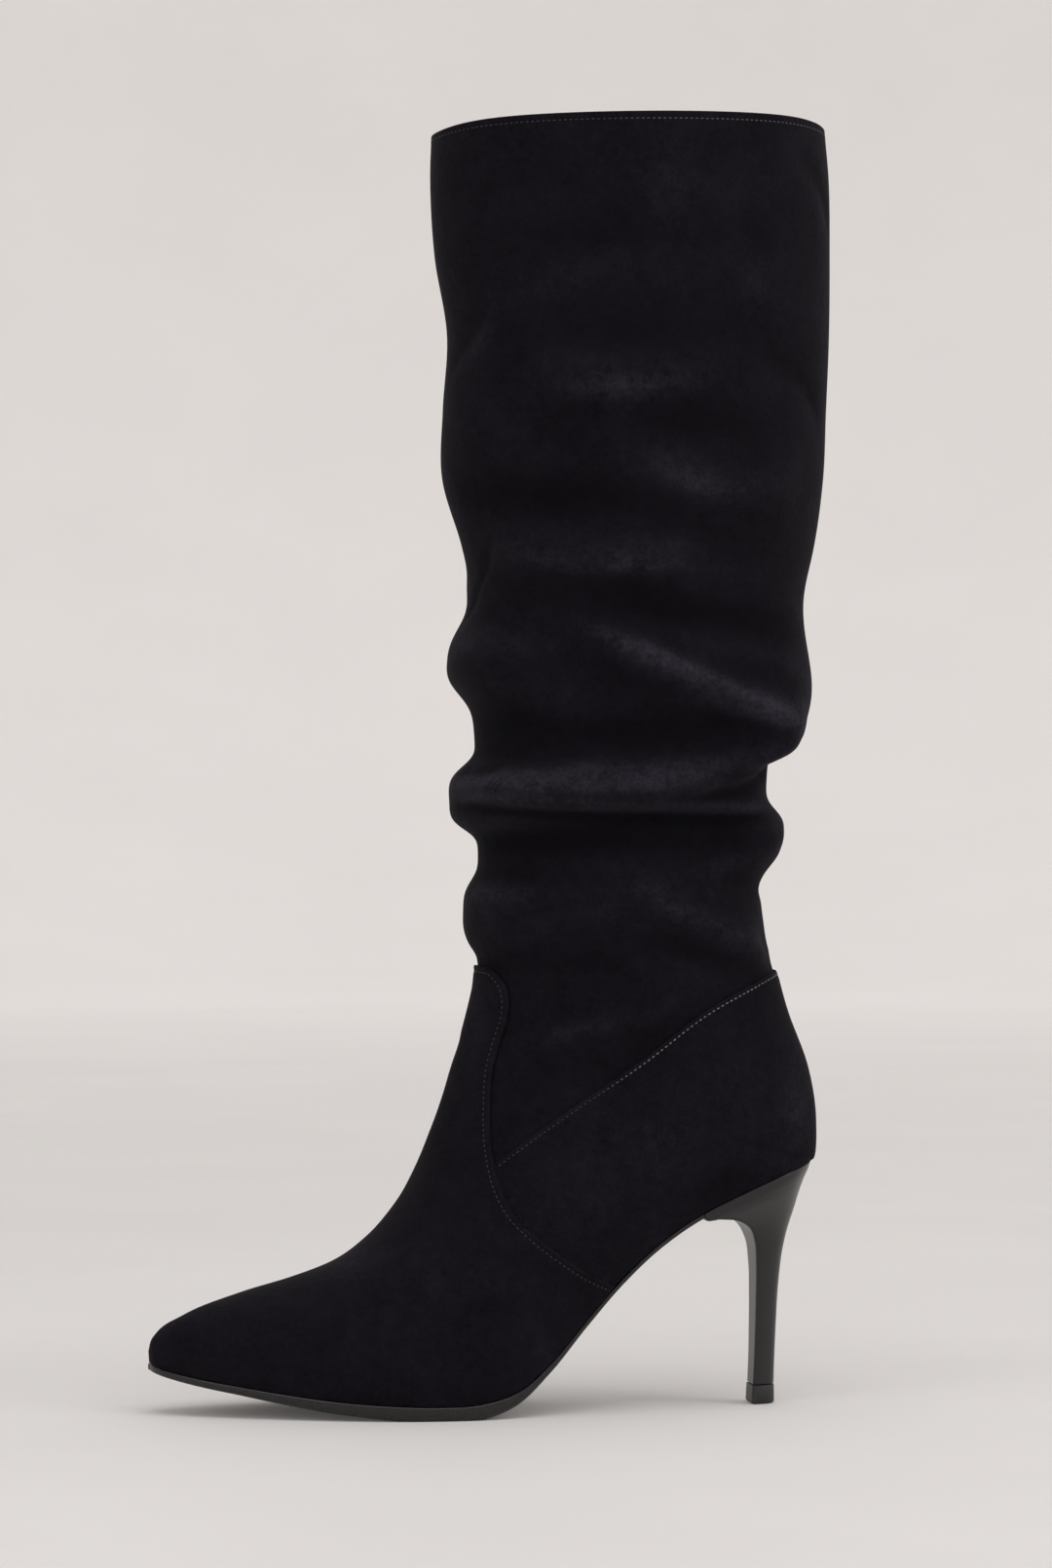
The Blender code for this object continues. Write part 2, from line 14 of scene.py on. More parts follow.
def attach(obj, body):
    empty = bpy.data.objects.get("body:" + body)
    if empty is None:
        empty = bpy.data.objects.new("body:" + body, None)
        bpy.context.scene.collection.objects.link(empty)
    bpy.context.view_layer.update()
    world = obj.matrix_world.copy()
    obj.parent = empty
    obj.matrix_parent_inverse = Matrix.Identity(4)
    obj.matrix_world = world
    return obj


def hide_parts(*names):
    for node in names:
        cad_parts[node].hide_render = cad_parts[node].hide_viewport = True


bl_info = {
    "name": "Slouch boot",
    "version": (1, 0, 0),
    "blender": (4, 5, 0),
    "location": "3D View > Sidebar > Boot",
    "description": "Builds the looks of a suede slouch boot round its packed solids",
    "category": "Object",
}

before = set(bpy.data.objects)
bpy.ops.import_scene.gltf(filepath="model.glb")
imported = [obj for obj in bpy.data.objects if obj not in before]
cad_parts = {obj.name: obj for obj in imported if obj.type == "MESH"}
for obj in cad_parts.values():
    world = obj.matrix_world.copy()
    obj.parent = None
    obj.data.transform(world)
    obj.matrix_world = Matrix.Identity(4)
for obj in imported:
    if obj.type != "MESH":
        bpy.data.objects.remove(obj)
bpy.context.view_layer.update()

# Sizes shared with the solids, in millimetres
MM = 0.001
CENTRE = np.array([1.05, -0.3, 0.0])
GAP = 0.3
SKIN = 0.9
BREAST_X = 76.4
HEEL_TIP_HEIGHT = 7.0

# Sizes that only the looks have, in millimetres
COLLAR_DROP = 2.6
COLLAR_DROP_FROM = 452.0
LINING_SLACK = 2.6
STITCH_LIFT = 0.06
SOLE_MARGIN = 0.4
TOE_ROUND = 6.4
INSOLE_INSET = 3.8
INSOLE_THICK = 2.0
COUNTER_TUCK_X = -9.0

# Columns of the upper's mesh, and the distance in metres under which points are welded
UPPER_COLUMNS = 208
WELD = 0.01 * MM

# Places, counted in sections from the toe, where the search for a seam starts, changes its way and ends
FIRST_PLACE = 2.0
VAMP_TURN = 9.5
COUNTER_FIRST = 8.0
COUNTER_END = 8.2
COUNTER_TURN = 17.0
LAST_PLACE = 22.0
RIDGE_AT_SEAM = 6.5

# Painted light and shade on the suede: reach in millimetres, the bend or slope at which it is full, and its
# share of the tone
PAINTED_LIGHT_STEP = 8.0
CREASE_STEP = 2.4
PAINTED_RIDGE_BEND = 1.6
PAINTED_SLOPE_FULL = 0.35
PAINTED_CREASE_BEND = 0.7
RIDGE_TONE = 0.22
SLOPE_TONE = 0.22
CREASE_TONE = 0.32
INNER_TONE = 0.6

# The photo's camera: place and distance in millimetres, turn in degrees, scale at the boot, picture height
CAMERA_X = -256.4
CAMERA_Y = -1809.9
CAMERA_Z = 230.0
CAMERA_TURN = -8.5
CAMERA_DISTANCE = 1830.0
PIXELS_PER_MM = 2.78
PHOTO_HEIGHT = 1610.0
SENSOR = 36.0

# The line where the upper meets the sole: height, and distance from the middle plane on each side
Feather = namedtuple("Feather", "name x z outer inner")
FEATHER = [Feather(*row) for row in (
    ("toe tip", -124.8, 18.4, 3, 3),
    ("toe nose", -124, 17.9, -0.2, 6.2),
    ("toe round", -121.5, 17, -3.8, 9.6),
    ("toe quarter", -116, 15.6, -8, 13.2),
    ("toe box", -107, 13.8, -13, 17.4),
    ("toe half", -95, 11.9, -18.6, 22),
    ("vamp front", -80, 9.7, -25, 27.2),
    ("joint front", -62, 7.4, -31.2, 32.2),
    ("inner joint", -44, 6, -35.8, 35.2),
    ("outer joint", -24, 5.3, -38.4, 35.6),
    ("tread back", -8, 5.9, -37.6, 32.6),
    ("waist start", 6, 9.7, -34.6, 28),
    ("waist low", 18, 19, -31.2, 23.8),
    ("waist", 32, 34.2, -27.8, 20.4),
    ("waist high", 46, 49.4, -25.6, 19),
    ("waist end", 60, 62, -24.6, 19.4),
    ("seat front", 74, 71.6, -24.8, 20.8),
    ("seat", 88, 78.6, -25.4, 22.8),
    ("seat middle", 98, 83, -24.9, 23.4),
    ("seat round", 107, 86.6, -22.6, 21.8),
    ("seat back", 113.5, 88.8, -18.6, 18.2),
    ("seat turn", 117.9, 90, -12.6, 12.4),
    ("seat near", 120.3, 90.5, -5.8, 5.8),
    ("seat end", 121, 90.6, 0, 0),
)]

# Sections of the upper from toe to collar: those of the foot stand on the feather line, the leg's are rings
Section = namedtuple("Section", "name back_x back_z front_x front_z front_y outer inner back_full front_full")
FOOT = [Section(*row) for row in (
    ("toe tip", -124.8, 0, -125.1, 22.6, 3, 0.6, 0.6, 1, 1),
    ("toe nose", -124, 0, -124.3, 26, 3, 3.6, 3.6, 1, 0.95),
    ("toe round", -121.4, 0, -121.8, 29.6, 3, 7.3, 7.3, 1, 0.95),
    ("toe box", -112, 0, -112.6, 35.4, 2.8, 13.4, 13.4, 1, 0.95),
    ("toe half", -90, 0, -91, 43.6, 2.6, 23.6, 24, 1, 0.95),
    ("vamp front", -70, 0, -72, 49.1, 2.6, 30.4, 30.8, 1, 0.98),
    ("joint front", -50, 0, -57.2, 54.6, 2.8, 36.2, 36, 1, 1),
    ("joint", -20, 0, -44.4, 63.8, 3, 39.2, 38.2, 1, 1.05),
    ("instep low", 12, 0, -34.4, 75.4, 3, 37, 34.6, 1, 1.08),
    ("instep", 43, 0, -27, 88.4, 3, 34, 32.2, 0.95, 1.08),
    ("instep high", 74, 0, -21.8, 101, 2.6, 32.6, 31.8, 0.8, 1.08),
    ("seat", 98, 0, -17.9, 111.6, 2.2, 31, 30.6, 0.68, 1.05),
    ("seat round", 110.5, 0, -15.6, 119, 1.8, 30.4, 30.2, 0.65, 1.05),
    ("seat turn", 117.3, 0, -14, 124.6, 1.6, 30, 29.8, 0.64, 1.05),
    ("seat near", 120.2, 0, -12.8, 128.4, 1.4, 29.9, 29.7, 0.64, 1.05),
)]
LEG = [Section(*row) for row in (
    ("heel back", 121, 90.6, -11.9, 131, 1.2, 29.8, 29.6, 0.64, 1.05),
    ("counter low", 122.4, 106, -9.7, 139.5, 1, 29.8, 29.6, 0.68, 1.05),
    ("counter middle", 119.6, 125, -7.6, 147.5, 0.8, 30.2, 30, 0.76, 1),
    ("counter high", 112.4, 145, -5.8, 155.5, 0.6, 31.2, 31, 0.86, 1),
    ("counter top", 107, 163, -4.5, 164.8, 0.4, 32.6, 32.4, 0.93, 1),
    ("leg start", 105.2, 167.5, -4.2, 169, 0.3, 33, 33, 0.97, 1),
    ("ankle", 102.8, 180, -3.8, 182, 0, 33.6, 33.6, 1, 1),
    ("ankle high", 101.6, 193, -3.6, 195, 0, 34.5, 34.5, 1, 1),
    ("calf low", 103.2, 216, -4, 219, 0, 36, 36, 1, 1),
    ("fold zone", 104.9, 239, -4.7, 242, 0, 38, 38, 1, 1),
    ("calf middle", 110.6, 264, -6, 266, 0, 40, 40, 1, 1),
    ("calf high", 115.4, 297, -5, 297, 0, 42, 42, 1, 1),
    ("swell low", 121.6, 318, -9.7, 318, 0, 43.5, 43.5, 1, 1),
    ("swell", 125.4, 343, -17, 343, 0, 44.5, 44.5, 1, 1),
    ("swell high", 126.5, 368, -16.7, 368, 0, 45, 45, 1, 1),
    ("dip", 127.6, 395, -15.1, 395, 0, 45.5, 45.5, 1, 1),
    ("high", 127.9, 425, -19.8, 425, 0, 46, 46, 1, 1),
    ("collar low", 127.5, 455, -21.4, 453, 0, 46, 46, 1, 1),
    ("collar", 126, 474.6, -21, 470.8, 0, 45.6, 45.6, 1, 1),
)]
LEG_START = len(FOOT)
LAST = len(FOOT + LEG) - 1

# Folds of the leg: each runs round the leg through three places, as an angle from the front and a height
Fold = namedtuple(
    "Fold", "name a0 z0 a1 z1 a2 z2 rise above below droop steep_up steep_down", defaults=[0.0, 2.0, 2.0]
)
FOLDS = [Fold(*row) for row in (
    ("high front roll", -85, 267, 0, 275, 74, 261, 9.4, 17, 14, 0, 2.6, 3),
    ("crease roll front", -90, 235, 0, 225, 100, 231, 10.2, 12.6, 12.4, 1, 4.2, 4),
    ("crease roll side", 60, 231, 110, 235, 172, 247, 4.5, 12, 8, 1.5),
    ("crease lip", 20, 229, 85, 225, 175, 225, 3.6, 8, 4, 1.5),
    ("back overhang", 112, 248, 180, 259.5, 246, 268, 10.6, 32, 14.5, 1, 2, 6.5),
    ("long diagonal", 52, 293, 105, 269, 172, 250, 4.5, 8, 13, 0.5),
    ("back bump", 118, 212, 180, 213.5, 240, 213, 7.4, 8.5, 15, 0.5, 2.9, 3.8),
    ("low front roll", -75, 176, 0, 182, 66, 179, 5.4, 13.5, 13, 0, 4, 3),
    ("low diagonal", 84, 197, 120, 179, 164, 169, 3.2, 9, 8),
    ("upper band", 45, 382, 85, 376, 120, 386, 2.4, 12, 14),
    ("upper diagonal", 76, 354, 108, 337, 150, 348, 2.4, 12, 12),
    ("level band", 20, 316, 67, 311, 110, 315, 2.8, 10, 9),
    ("hollow under crease", 10, 213, 95, 208, 168, 208, -3, 7, 11),
    ("hollow in diagonal", 40, 250, 95, 247, 155, 251, -3, 8, 8),
    ("hollow over diagonal", 60, 300, 112, 290, 168, 281, -2.4, 9, 8),
    ("hollow over band", 12, 335, 66, 331, 115, 322, -2, 10, 9),
    ("inner diagonal", -176, 250, -110, 266, -50, 288, 4, 9, 13, 0.5),
    ("inner crease roll", -176, 243, -110, 234, -60, 232, 4.2, 12, 8, 1),
    ("inner hollow", -168, 208, -95, 209, -15, 212, -2.6, 8, 11),
    ("inner low roll", -160, 170, -110, 180, -70, 195, 3, 9, 9),
    ("inner band", -120, 318, -70, 312, -20, 317, 2.4, 11, 10),
    ("inner upper band", -140, 352, -95, 342, -50, 356, 2.2, 13, 12),
)]

# Finer creases that only the looks have, in the same terms
CREASES = [Fold(*row) for row in (
    ("main crease", -10, 224, 70, 220, 178, 217, -2.6, 1.6, 3.6),
    ("crease edge", 0, 227.5, 80, 223.5, 172, 221, 1.2, 3, 1.6),
    ("overhang crease", 104, 225, 140, 231, 176, 239, -2.8, 1.8, 3.8),
    ("long diagonal ridge", 62, 290, 104, 272, 160, 248, 1.4, 3.5, 7),
    ("diagonal foot", 95, 258, 130, 252, 172, 246, -0.9, 3, 4),
    ("front pleat", 2, 236, 18, 235, 40, 238, -1.6, 1.8, 2.5),
    ("upper front shoulder", -50, 300, 0, 301, 40, 301, 1.6, 7, 8),
    ("front crescent", 0, 288, 17, 304, 34, 326, -0.9, 3, 3),
    ("upper front crescent", 4, 378, 22, 392, 40, 408, -0.8, 5, 4),
    ("back bump ridge", 120, 200, 150, 206, 178, 214, 0.9, 3, 4),
    ("ankle diagonal", 92, 193, 122, 178, 158, 168, 0.7, 3.5, 4.5),
    ("ankle trough", 70, 178, 108, 169, 140, 163, -0.8, 4, 5),
    ("ankle ridge", 34, 176, 62, 181, 90, 186, 0.6, 4, 5),
    ("crescent by seam", 40, 137, 66, 140, 108, 155, 0.7, 3, 4),
    ("upper band edge", 52, 376, 80, 372, 104, 380, 0.7, 4, 6),
    ("upper band hollow", 50, 400, 90, 398, 130, 404, -1.3, 12, 10),
    ("upper diagonal edge", 84, 350, 110, 337, 136, 347, 0.7, 4, 7),
    ("level band edge", 30, 314, 66, 311, 98, 314, 0.7, 4, 5),
    ("back crescent", 118, 386, 142, 378, 160, 362, -1, 5, 5),
    ("back upper crescent", 136, 462, 152, 452, 170, 430, -0.8, 6, 6),
    ("collar ripple", 92, 452, 112, 444, 140, 456, 0.7, 8, 8),
    ("collar dip", 60, 436, 84, 430, 110, 424, -0.8, 10, 9),
    ("inner crease", -172, 219, -80, 219, 0, 225, -2, 1.8, 3.6),
    ("inner diagonal ridge", -170, 252, -112, 268, -56, 286, 1, 3.5, 6),
    ("inner overhang crease", -176, 244, -140, 238, -108, 228, -2.4, 1.8, 4),
    ("inner back notch", -200, 190, -164, 191, -138, 188, -1.2, 3, 3),
    ("inner ankle ridge", -150, 172, -112, 180, -74, 190, 0.7, 4, 5),
    ("inner band edge", -110, 317, -70, 312, -30, 316, 0.7, 4, 5),
    ("inner upper edge", -132, 351, -95, 343, -58, 354, 0.7, 4, 7),
    ("inner collar dip", -120, 430, -84, 432, -50, 440, -0.8, 10, 9),
)]

# Patches of painted light and shade on the suede, in side view: middle, half length, half height, turn in
# degrees, and tone
Patch = namedtuple("Patch", "name x z long high turn tone")
PAINTED_LIGHT_PATCHES = [Patch(*row) for row in (
    ("collar stripe", 60, 446, 9, 16, 0, 0.30),
    ("collar back", 94, 414, 9, 11, 0, 0.30),
    ("collar front band", 20, 412, 22, 6, 14, 0.25),
    ("collar front shade", 20, 428, 22, 6, 0, -0.30),
    ("collar back shade", 94, 427, 7, 9, 0, -0.25),
    ("under collar shade", 50, 392, 38, 8, 0, -0.40),
    ("upper band", 47, 374, 27, 5, 3, 0.40),
    ("upper band tail", 41, 362, 7, 9, -10, 0.25),
    ("swell shade", 80, 360, 26, 7, -5, -0.35),
    ("swell diagonal", 69, 338, 25, 9, -33, 0.32),
    ("swell front shade", 19, 334, 34, 9, 0, -0.35),
    ("front crescent", -6, 392, 3, 12, -20, 0.35),
    ("level band", 50, 308, 20, 3.5, 3, 0.40),
    ("level front", 12, 300, 14, 8, 0, 0.15),
    ("over diagonal shade", 74, 291, 36, 5.5, -4, -0.40),
    ("diagonal ridge", 64, 269, 30, 5, -27, 0.26),
    ("diagonal foot", 98, 255, 14, 10, -20, 0.26),
    ("diagonal shade", 96, 270, 16, 6, -33, -0.35),
    ("front roll shade", 9, 274, 22, 5, 0, -0.25),
    ("middle shade", 45, 246, 30, 5, 0, -0.25),
    ("roll light", 58, 235, 28, 4, 6, 0.25),
    ("crease roll light", 28, 226, 40, 6, -6, 0.08),
    ("under crease shade", 68, 212, 46, 6, -2, -0.42),
    ("ankle front shade", 24, 196, 28, 3.5, 0, -0.25),
    ("bump light", 86, 198, 12, 6, 0, 0.25),
    ("low diagonal", 62, 182, 14, 5, -35, 0.35),
    ("low diagonal tail", 85, 169, 13, 5, -25, 0.30),
    ("ankle shade", 33, 166, 28, 4, 4, -0.25),
    ("ankle ridge", 31, 141, 20, 5, 28, 0.30),
    ("seam shade", 64, 141, 22, 4, 32, -0.30),
    ("ankle low shade", 12, 122, 12, 7, 35, -0.20),
    ("vamp top", -6, 142, 5, 10, 0, 0.30),
    ("instep", -49, 56, 14, 5, 24, 0.30),
    ("vamp side", -24, 50, 15, 8, 0, 0.15),
    ("vamp waist", 15, 22, 5, 10, 0, 0.25),
    ("toe", -106, 35, 12, 5, 22, 0.15),
    ("counter back", 111, 111, 8, 15, 0, 0.50),
    ("counter low back", 106, 92, 8, 5, 30, 0.15),
    ("counter front", 56, 98, 44, 20, 30, 0.28),
    ("counter corner shade", 84, 84, 9, 5, 25, -0.35),
)]

# Edge of the vamp and top line of the counter, in side view
Seam = namedtuple("Seam", "name x z")
VAMP_EDGE = [Seam(*row) for row in (
    ("front", -30, 163.3),
    ("top front", -5, 163.3),
    ("top", -1.2, 162.4),
    ("corner", 2.3, 159.1),
    ("below corner", 4.3, 155.3),
    ("upper side", 4.9, 146.5),
    ("side", 2, 135.5),
    ("lower side", -0.6, 125.7),
    ("straight", -1.8, 111.6),
    ("straight end", -1.7, 93),
    ("turn", -0.1, 84.3),
    ("sweep", 4.4, 74.4),
    ("sweep back", 12.2, 66.2),
    ("run out", 22.4, 58.2),
    ("near sole", 32.9, 51.4),
    ("at sole", 42, 47),
    ("past sole", 60, 38),
)]
COUNTER_EDGE = [Seam(*row) for row in (
    ("behind", 140, 161),
    ("back", 107, 161),
    ("upper", 91.9, 154.9),
    ("upper side", 79, 148.5),
    ("side", 51, 128.2),
    ("lower side", 26.5, 111.5),
    ("lower", 11.5, 101),
    ("at vamp", -1, 92),
    ("under vamp", -12, 84),
)]

# Thickness of the sole along its length, as in the solids
Sole = namedtuple("Sole", "name x thickness edge bevel")
SOLE = [Sole(*row) for row in (
    ("toe", -126, 2.2, 1, 1),
    ("toe half", -95, 2.9, 1, 1.4),
    ("joint front", -62, 4.3, 1.1, 1.8),
    ("tread front", -48, 4.8, 1.1, 2),
    ("tread", -34, 5.5, 1.1, 2),
    ("tread back", -8, 5.8, 0.9, 2),
    ("waist start", 6, 4.6, 0.6, 1.8),
    ("waist low", 18, 3.4, 0.4, 1.6),
    ("waist", 32, 2.6, 0.1, 1.4),
    ("waist end", 60, 2.2, 0, 1.2),
    ("breast", 78, 2, 0, 1.2),
)]

# Rings of the heel from the seat down to the top piece
Ring = namedtuple("Ring", "name front_x front_z back_x back_z half seat")
HEEL = [Ring(*row) for row in (
    ("seat", 76.7, 72.6, 120.8, 90.3, 24, 1),
    ("lip", 77, 70.3, 120.1, 88.2, 23.4, 1),
    ("arch front", 82.5, 70.2, 118, 83.6, 20.2, 0.75),
    ("arch", 89.5, 69.4, 116.2, 78.4, 15.8, 0.45),
    ("arch back", 95.4, 66.2, 114.6, 72.6, 12.2, 0.2),
    ("neck", 98.2, 60.5, 112.4, 65.6, 9.8, 0.05),
    ("stem high", 99.1, 52, 110.4, 57, 8.3, 0),
    ("stem", 99.2, 41, 108.9, 45, 7.3, 0),
    ("stem low", 99, 28, 108, 30.5, 6.6, 0),
    ("stem thin", 98.7, 16, 107.4, 17, 6.1, 0),
    ("stem end", 98.3, HEEL_TIP_HEIGHT + GAP, 107.1, HEEL_TIP_HEIGHT + GAP, 5.9, 0),
)]
TOP_PIECE = [Ring(*row) for row in (
    ("top", 98.1, HEEL_TIP_HEIGHT, 107.2, HEEL_TIP_HEIGHT, 6.1, 0),
    ("foot", 97.8, 0.8, 107.3, 0.8, 6.3, 0),
    ("ground", 98.4, 0, 106.7, 0, 5.7, 0),
)]


# Curves and the boot's surface
def through(knots, values, at):
    """A smooth line through every row of values, its slopes taken from the rows on each side."""
    knots = np.asarray(knots, float)
    values = np.asarray(values, float)
    at = np.asarray(at, float)
    slope = np.gradient(values, knots, axis=0)
    i = np.clip(np.searchsorted(knots, at, side="right") - 1, 0, len(knots) - 2)
    width = (knots[i + 1] - knots[i])[:, None]
    t = ((at - knots[i]) / width[:, 0])[:, None]
    start = (2 * t**3 - 3 * t**2 + 1) * values[i] + (t**3 - 2 * t**2 + t) * width * slope[i]
    end = (3 * t**2 - 2 * t**3) * values[i + 1] + (t**3 - t**2) * width * slope[i + 1]
    return start + end


def lengths(points):
    steps = np.linalg.norm(np.diff(points, axis=0), axis=1)
    return np.concatenate([[0.0], np.cumsum(steps)])


def columns_of(rows):
    return np.array([row[1:] for row in rows], float)


def smooth(low, high, value):
    t = np.clip((value - low) / (high - low), 0, 1)
    return t * t * (3 - 2 * t)


def feather_line():
    """The feather line sampled finely, as x, z, outer and inner."""
    table = columns_of(FEATHER)
    knots = lengths(table)
    return through(knots, table, np.linspace(0, knots[-1], 40 * len(table)))


LINE = feather_line()


def feather_at(x):
    """Height, outer and inner distance of the feather line at each x."""
    return [np.interp(x, LINE[:, 0], LINE[:, k]) for k in (1, 2, 3)]


def section_table():
    table = columns_of(FOOT + LEG)
    table[:LEG_START, 1] = feather_at(table[:LEG_START, 0])[0]
    return table, (lengths(table[:, 0:2]) + lengths(table[:, 2:4])) / 2


TABLE, KNOTS = section_table()


def fold_push(folds, angle, z):
    """How far the folds push a place of the leg outwards, and how far it sags."""
    push = np.zeros_like(z)
    sag = np.zeros_like(z)
    for fold in folds:
        middle = (fold.a0 + fold.a2) / 2
        around = (angle - middle + 180) % 360 - 180 + middle
        u = (around - fold.a0) / (fold.a2 - fold.a0)
        bend = (fold.a1 - fold.a0) / (fold.a2 - fold.a0)
        line = (
            fold.z0 * (u - bend) * (u - 1) / bend
            + fold.z1 * u * (u - 1) / (bend * (bend - 1))
            + fold.z2 * u * (u - bend) / (1 - bend)
        )
        ends = np.clip(np.minimum(u, 1 - u) / 0.3, 0, 1)
        strength = ends * ends * (3 - 2 * ends)
        away = z - line
        reach = np.where(away > 0, fold.above, fold.below)
        steep = np.where(away > 0, fold.steep_up, fold.steep_down)
        shape = strength * np.exp(-(np.abs(away / reach) ** steep))
        push += fold.rise * shape
        sag += fold.droop * shape
    return push, sag


def smooth_boot(place, around):
    """The boot's outside without folds: x, y and z, the angle round the leg, and the way folds push it."""
    rows = through(KNOTS, TABLE, np.interp(place.ravel(), np.arange(len(KNOTS)), KNOTS))
    values = np.moveaxis(rows.reshape(place.shape + (9,)), -1, 0)
    back_x, back_z, front_x, front_z, front_y, wide_out, wide_in, back_full, front_full = values
    foot = place < LEG_START
    line_z, outer, inner = feather_at(back_x)
    back_z = np.where(foot, line_z, back_z)
    back_y = np.where(foot, (outer + inner) / 2, 0.0)
    half = np.where(foot, (inner - outer) / 2, 0.0)
    side = np.where(around <= 0.5, -1.0, 1.0)
    wide = np.where(side < 0, wide_out, wide_in)
    start = np.arcsin(np.minimum(1.0, half / wide) ** (1 / back_full))
    turn = start + (np.pi - start) * (1 - np.abs(2 * around - 1))
    along = (np.cos(start) - np.cos(turn)) / (np.cos(start) + 1)
    full = np.where(turn < np.pi / 2, back_full, front_full)
    across = wide * np.abs(np.sin(turn)) ** full
    x = back_x + (front_x - back_x) * along
    z = back_z + (front_z - back_z) * along
    y = back_y + (front_y - back_y) * along + side * across
    angle = -side * (180 - np.degrees(turn))
    push_x = -2 * np.cos(np.radians(angle)) / (back_x - front_x)
    push_y = side * np.abs(np.sin(np.radians(angle))) / wide
    size = np.hypot(push_x, push_y)
    return x, y, z, angle, push_x / size, push_y / size


def surface(place, around, creases=1.0, folds=1.0):
    """Points of the boot's outside. place counts the sections from the toe; around runs from 0 at the outer
    side or back, over the front at 0.5, to 1 at the inner side."""
    x, y, z, angle, push_x, push_y = smooth_boot(place, around)
    leg = place >= LEG_START
    push, sag = fold_push(FOLDS, angle, z)
    fine, _ = fold_push(CREASES, angle, z)
    push = np.where(leg, folds * push + creases * fine, 0.0)
    drop = COLLAR_DROP * smooth(COLLAR_DROP_FROM, TABLE[-1, 1], z) * np.abs(np.cos(np.radians(angle))) ** 8
    z = z - np.where(leg, folds * sag + drop, 0.0)
    return np.stack([x + push * push_x, y + push * push_y, z], axis=-1)


def straight_out(place, around):
    """Directions straight out of the boot's outside, without its creases."""
    step, turn = 0.03, 0.003
    leg = place >= LEG_START
    before = np.where(leg, (around - turn) % 1.0, np.maximum(around - turn, 0.0))
    after = np.where(leg, (around + turn) % 1.0, np.minimum(around + turn, 1.0))
    higher, lower = np.minimum(place + step, LAST), np.maximum(place - step, 0.0)
    up = surface(higher, around, 0.0) - surface(lower, around, 0.0)
    normals = np.cross(up, surface(place, after, 0.0) - surface(place, before, 0.0))
    size = np.linalg.norm(normals, axis=-1, keepdims=True)
    return np.where(size > 1e-9, normals / np.maximum(size, 1e-9), np.array([-1.0, 0.0, 0.0]))


def painted_light_tone(place, around, creases=1.0):
    """Painted light and shade on the suede, from below 0 where it is painted dark to above 0 where it is
    painted pale.
    Painted highlights lie on ridges and on slopes that look up, painted shade in hollows and creases, and
    painted patches of light and shade lie over them."""
    x, y, z, angle, _, _ = smooth_boot(place, around)

    def push(height):
        return fold_push(FOLDS, angle, height)[0] + creases * fold_push(CREASES, angle, height)[0]

    here, over, under = push(z), push(z + PAINTED_LIGHT_STEP), push(z - PAINTED_LIGHT_STEP)
    ridge = np.tanh((here - (over + under) / 2) / PAINTED_RIDGE_BEND)
    slope = np.tanh((under - over) / (2 * PAINTED_LIGHT_STEP) / PAINTED_SLOPE_FULL)
    crease = np.tanh((here - (push(z + CREASE_STEP) + push(z - CREASE_STEP)) / 2) / PAINTED_CREASE_BEND)
    tone = np.where(place >= LEG_START, RIDGE_TONE * ridge + SLOPE_TONE * slope + CREASE_TONE * crease, 0.0)
    for patch in PAINTED_LIGHT_PATCHES:
        turn = math.radians(patch.turn)
        along = (x - patch.x) * math.cos(turn) + (z - patch.z) * math.sin(turn)
        over = (z - patch.z) * math.cos(turn) - (x - patch.x) * math.sin(turn)
        shape = np.exp(-((along / patch.long) ** 2) - (over / patch.high) ** 2)
        tone = tone + patch.tone * shape * np.where(y < 0, 1.0, INNER_TONE)
    return np.clip(tone, -1, 1)


def seam_line(seam, shift=0.0):
    """A seam in side view, as x and z. shift moves it sideways, towards its left as it runs."""
    table = columns_of(seam)
    knots = lengths(table)
    line = through(knots, table, np.linspace(0, knots[-1], 8 * len(table)))
    ahead = np.gradient(line, axis=0)
    ahead /= np.linalg.norm(ahead, axis=1, keepdims=True)
    return line + shift * np.stack([-ahead[:, 1], ahead[:, 0]], axis=1)


def seam_distance(points, line):
    """Distance of each point from a seam in side view, positive on the left of the seam as it runs."""
    p = points[..., [0, 2]].reshape(-1, 2)
    best = np.full(len(p), 1e9)
    signed = np.zeros(len(p))
    for a, b in zip(line[:-1], line[1:]):
        edge = b - a
        t = np.clip((p - a) @ edge / (edge @ edge), 0, 1)
        away = p - (a + t[:, None] * edge)
        left = (edge[0] * (p[:, 1] - a[1]) - edge[1] * (p[:, 0] - a[0])) / np.linalg.norm(edge)
        distance = np.linalg.norm(away, axis=1)
        near = distance - 1e-4 * np.abs(left) < best
        best = np.where(near, distance - 1e-4 * np.abs(left), best)
        signed = np.where(near, np.sign(left) * distance, signed)
    return signed.reshape(points.shape[:-1])


def first_positive(side, at):
    """The value of at where each row of side first turns positive, or its last value."""
    found = np.where(side.max(axis=1) > 0, np.maximum(np.argmax(side > 0, axis=1), 1), len(at) - 1)
    each = np.arange(len(side))
    low, high = side[each, found - 1], side[each, found]
    share = np.clip(low / np.where(np.abs(low - high) > 1e-9, low - high, 1), 0, 1)
    return at[found - 1] + share * (at[found] - at[found - 1])


def crossing(line, around, first, to_left):
    """Where each line along the boot, at one value of around, first crosses a seam."""
    places = np.linspace(first, LAST_PLACE, 500)
    grid = surface(*np.meshgrid(places, around), 0.0)
    return first_positive(seam_distance(grid, line) * (1 if to_left else -1), places)


def seam_around(line, places, inner):
    """How far round the boot each section, taken from its front, first crosses a seam on one side."""
    tries = np.linspace(0.5, 1.0 if inner else 0.0, 400)
    grid = surface(*np.meshgrid(places, tries, indexing="ij"), 0.0)
    return first_positive(seam_distance(grid, line), tries)


def evenly(place, around, count):
    """The same path over the boot in equal steps."""
    along = lengths(surface(place, around, 0.0))
    even = np.linspace(0, along[-1], count)
    return np.interp(even, along, place), np.interp(even, along, around)


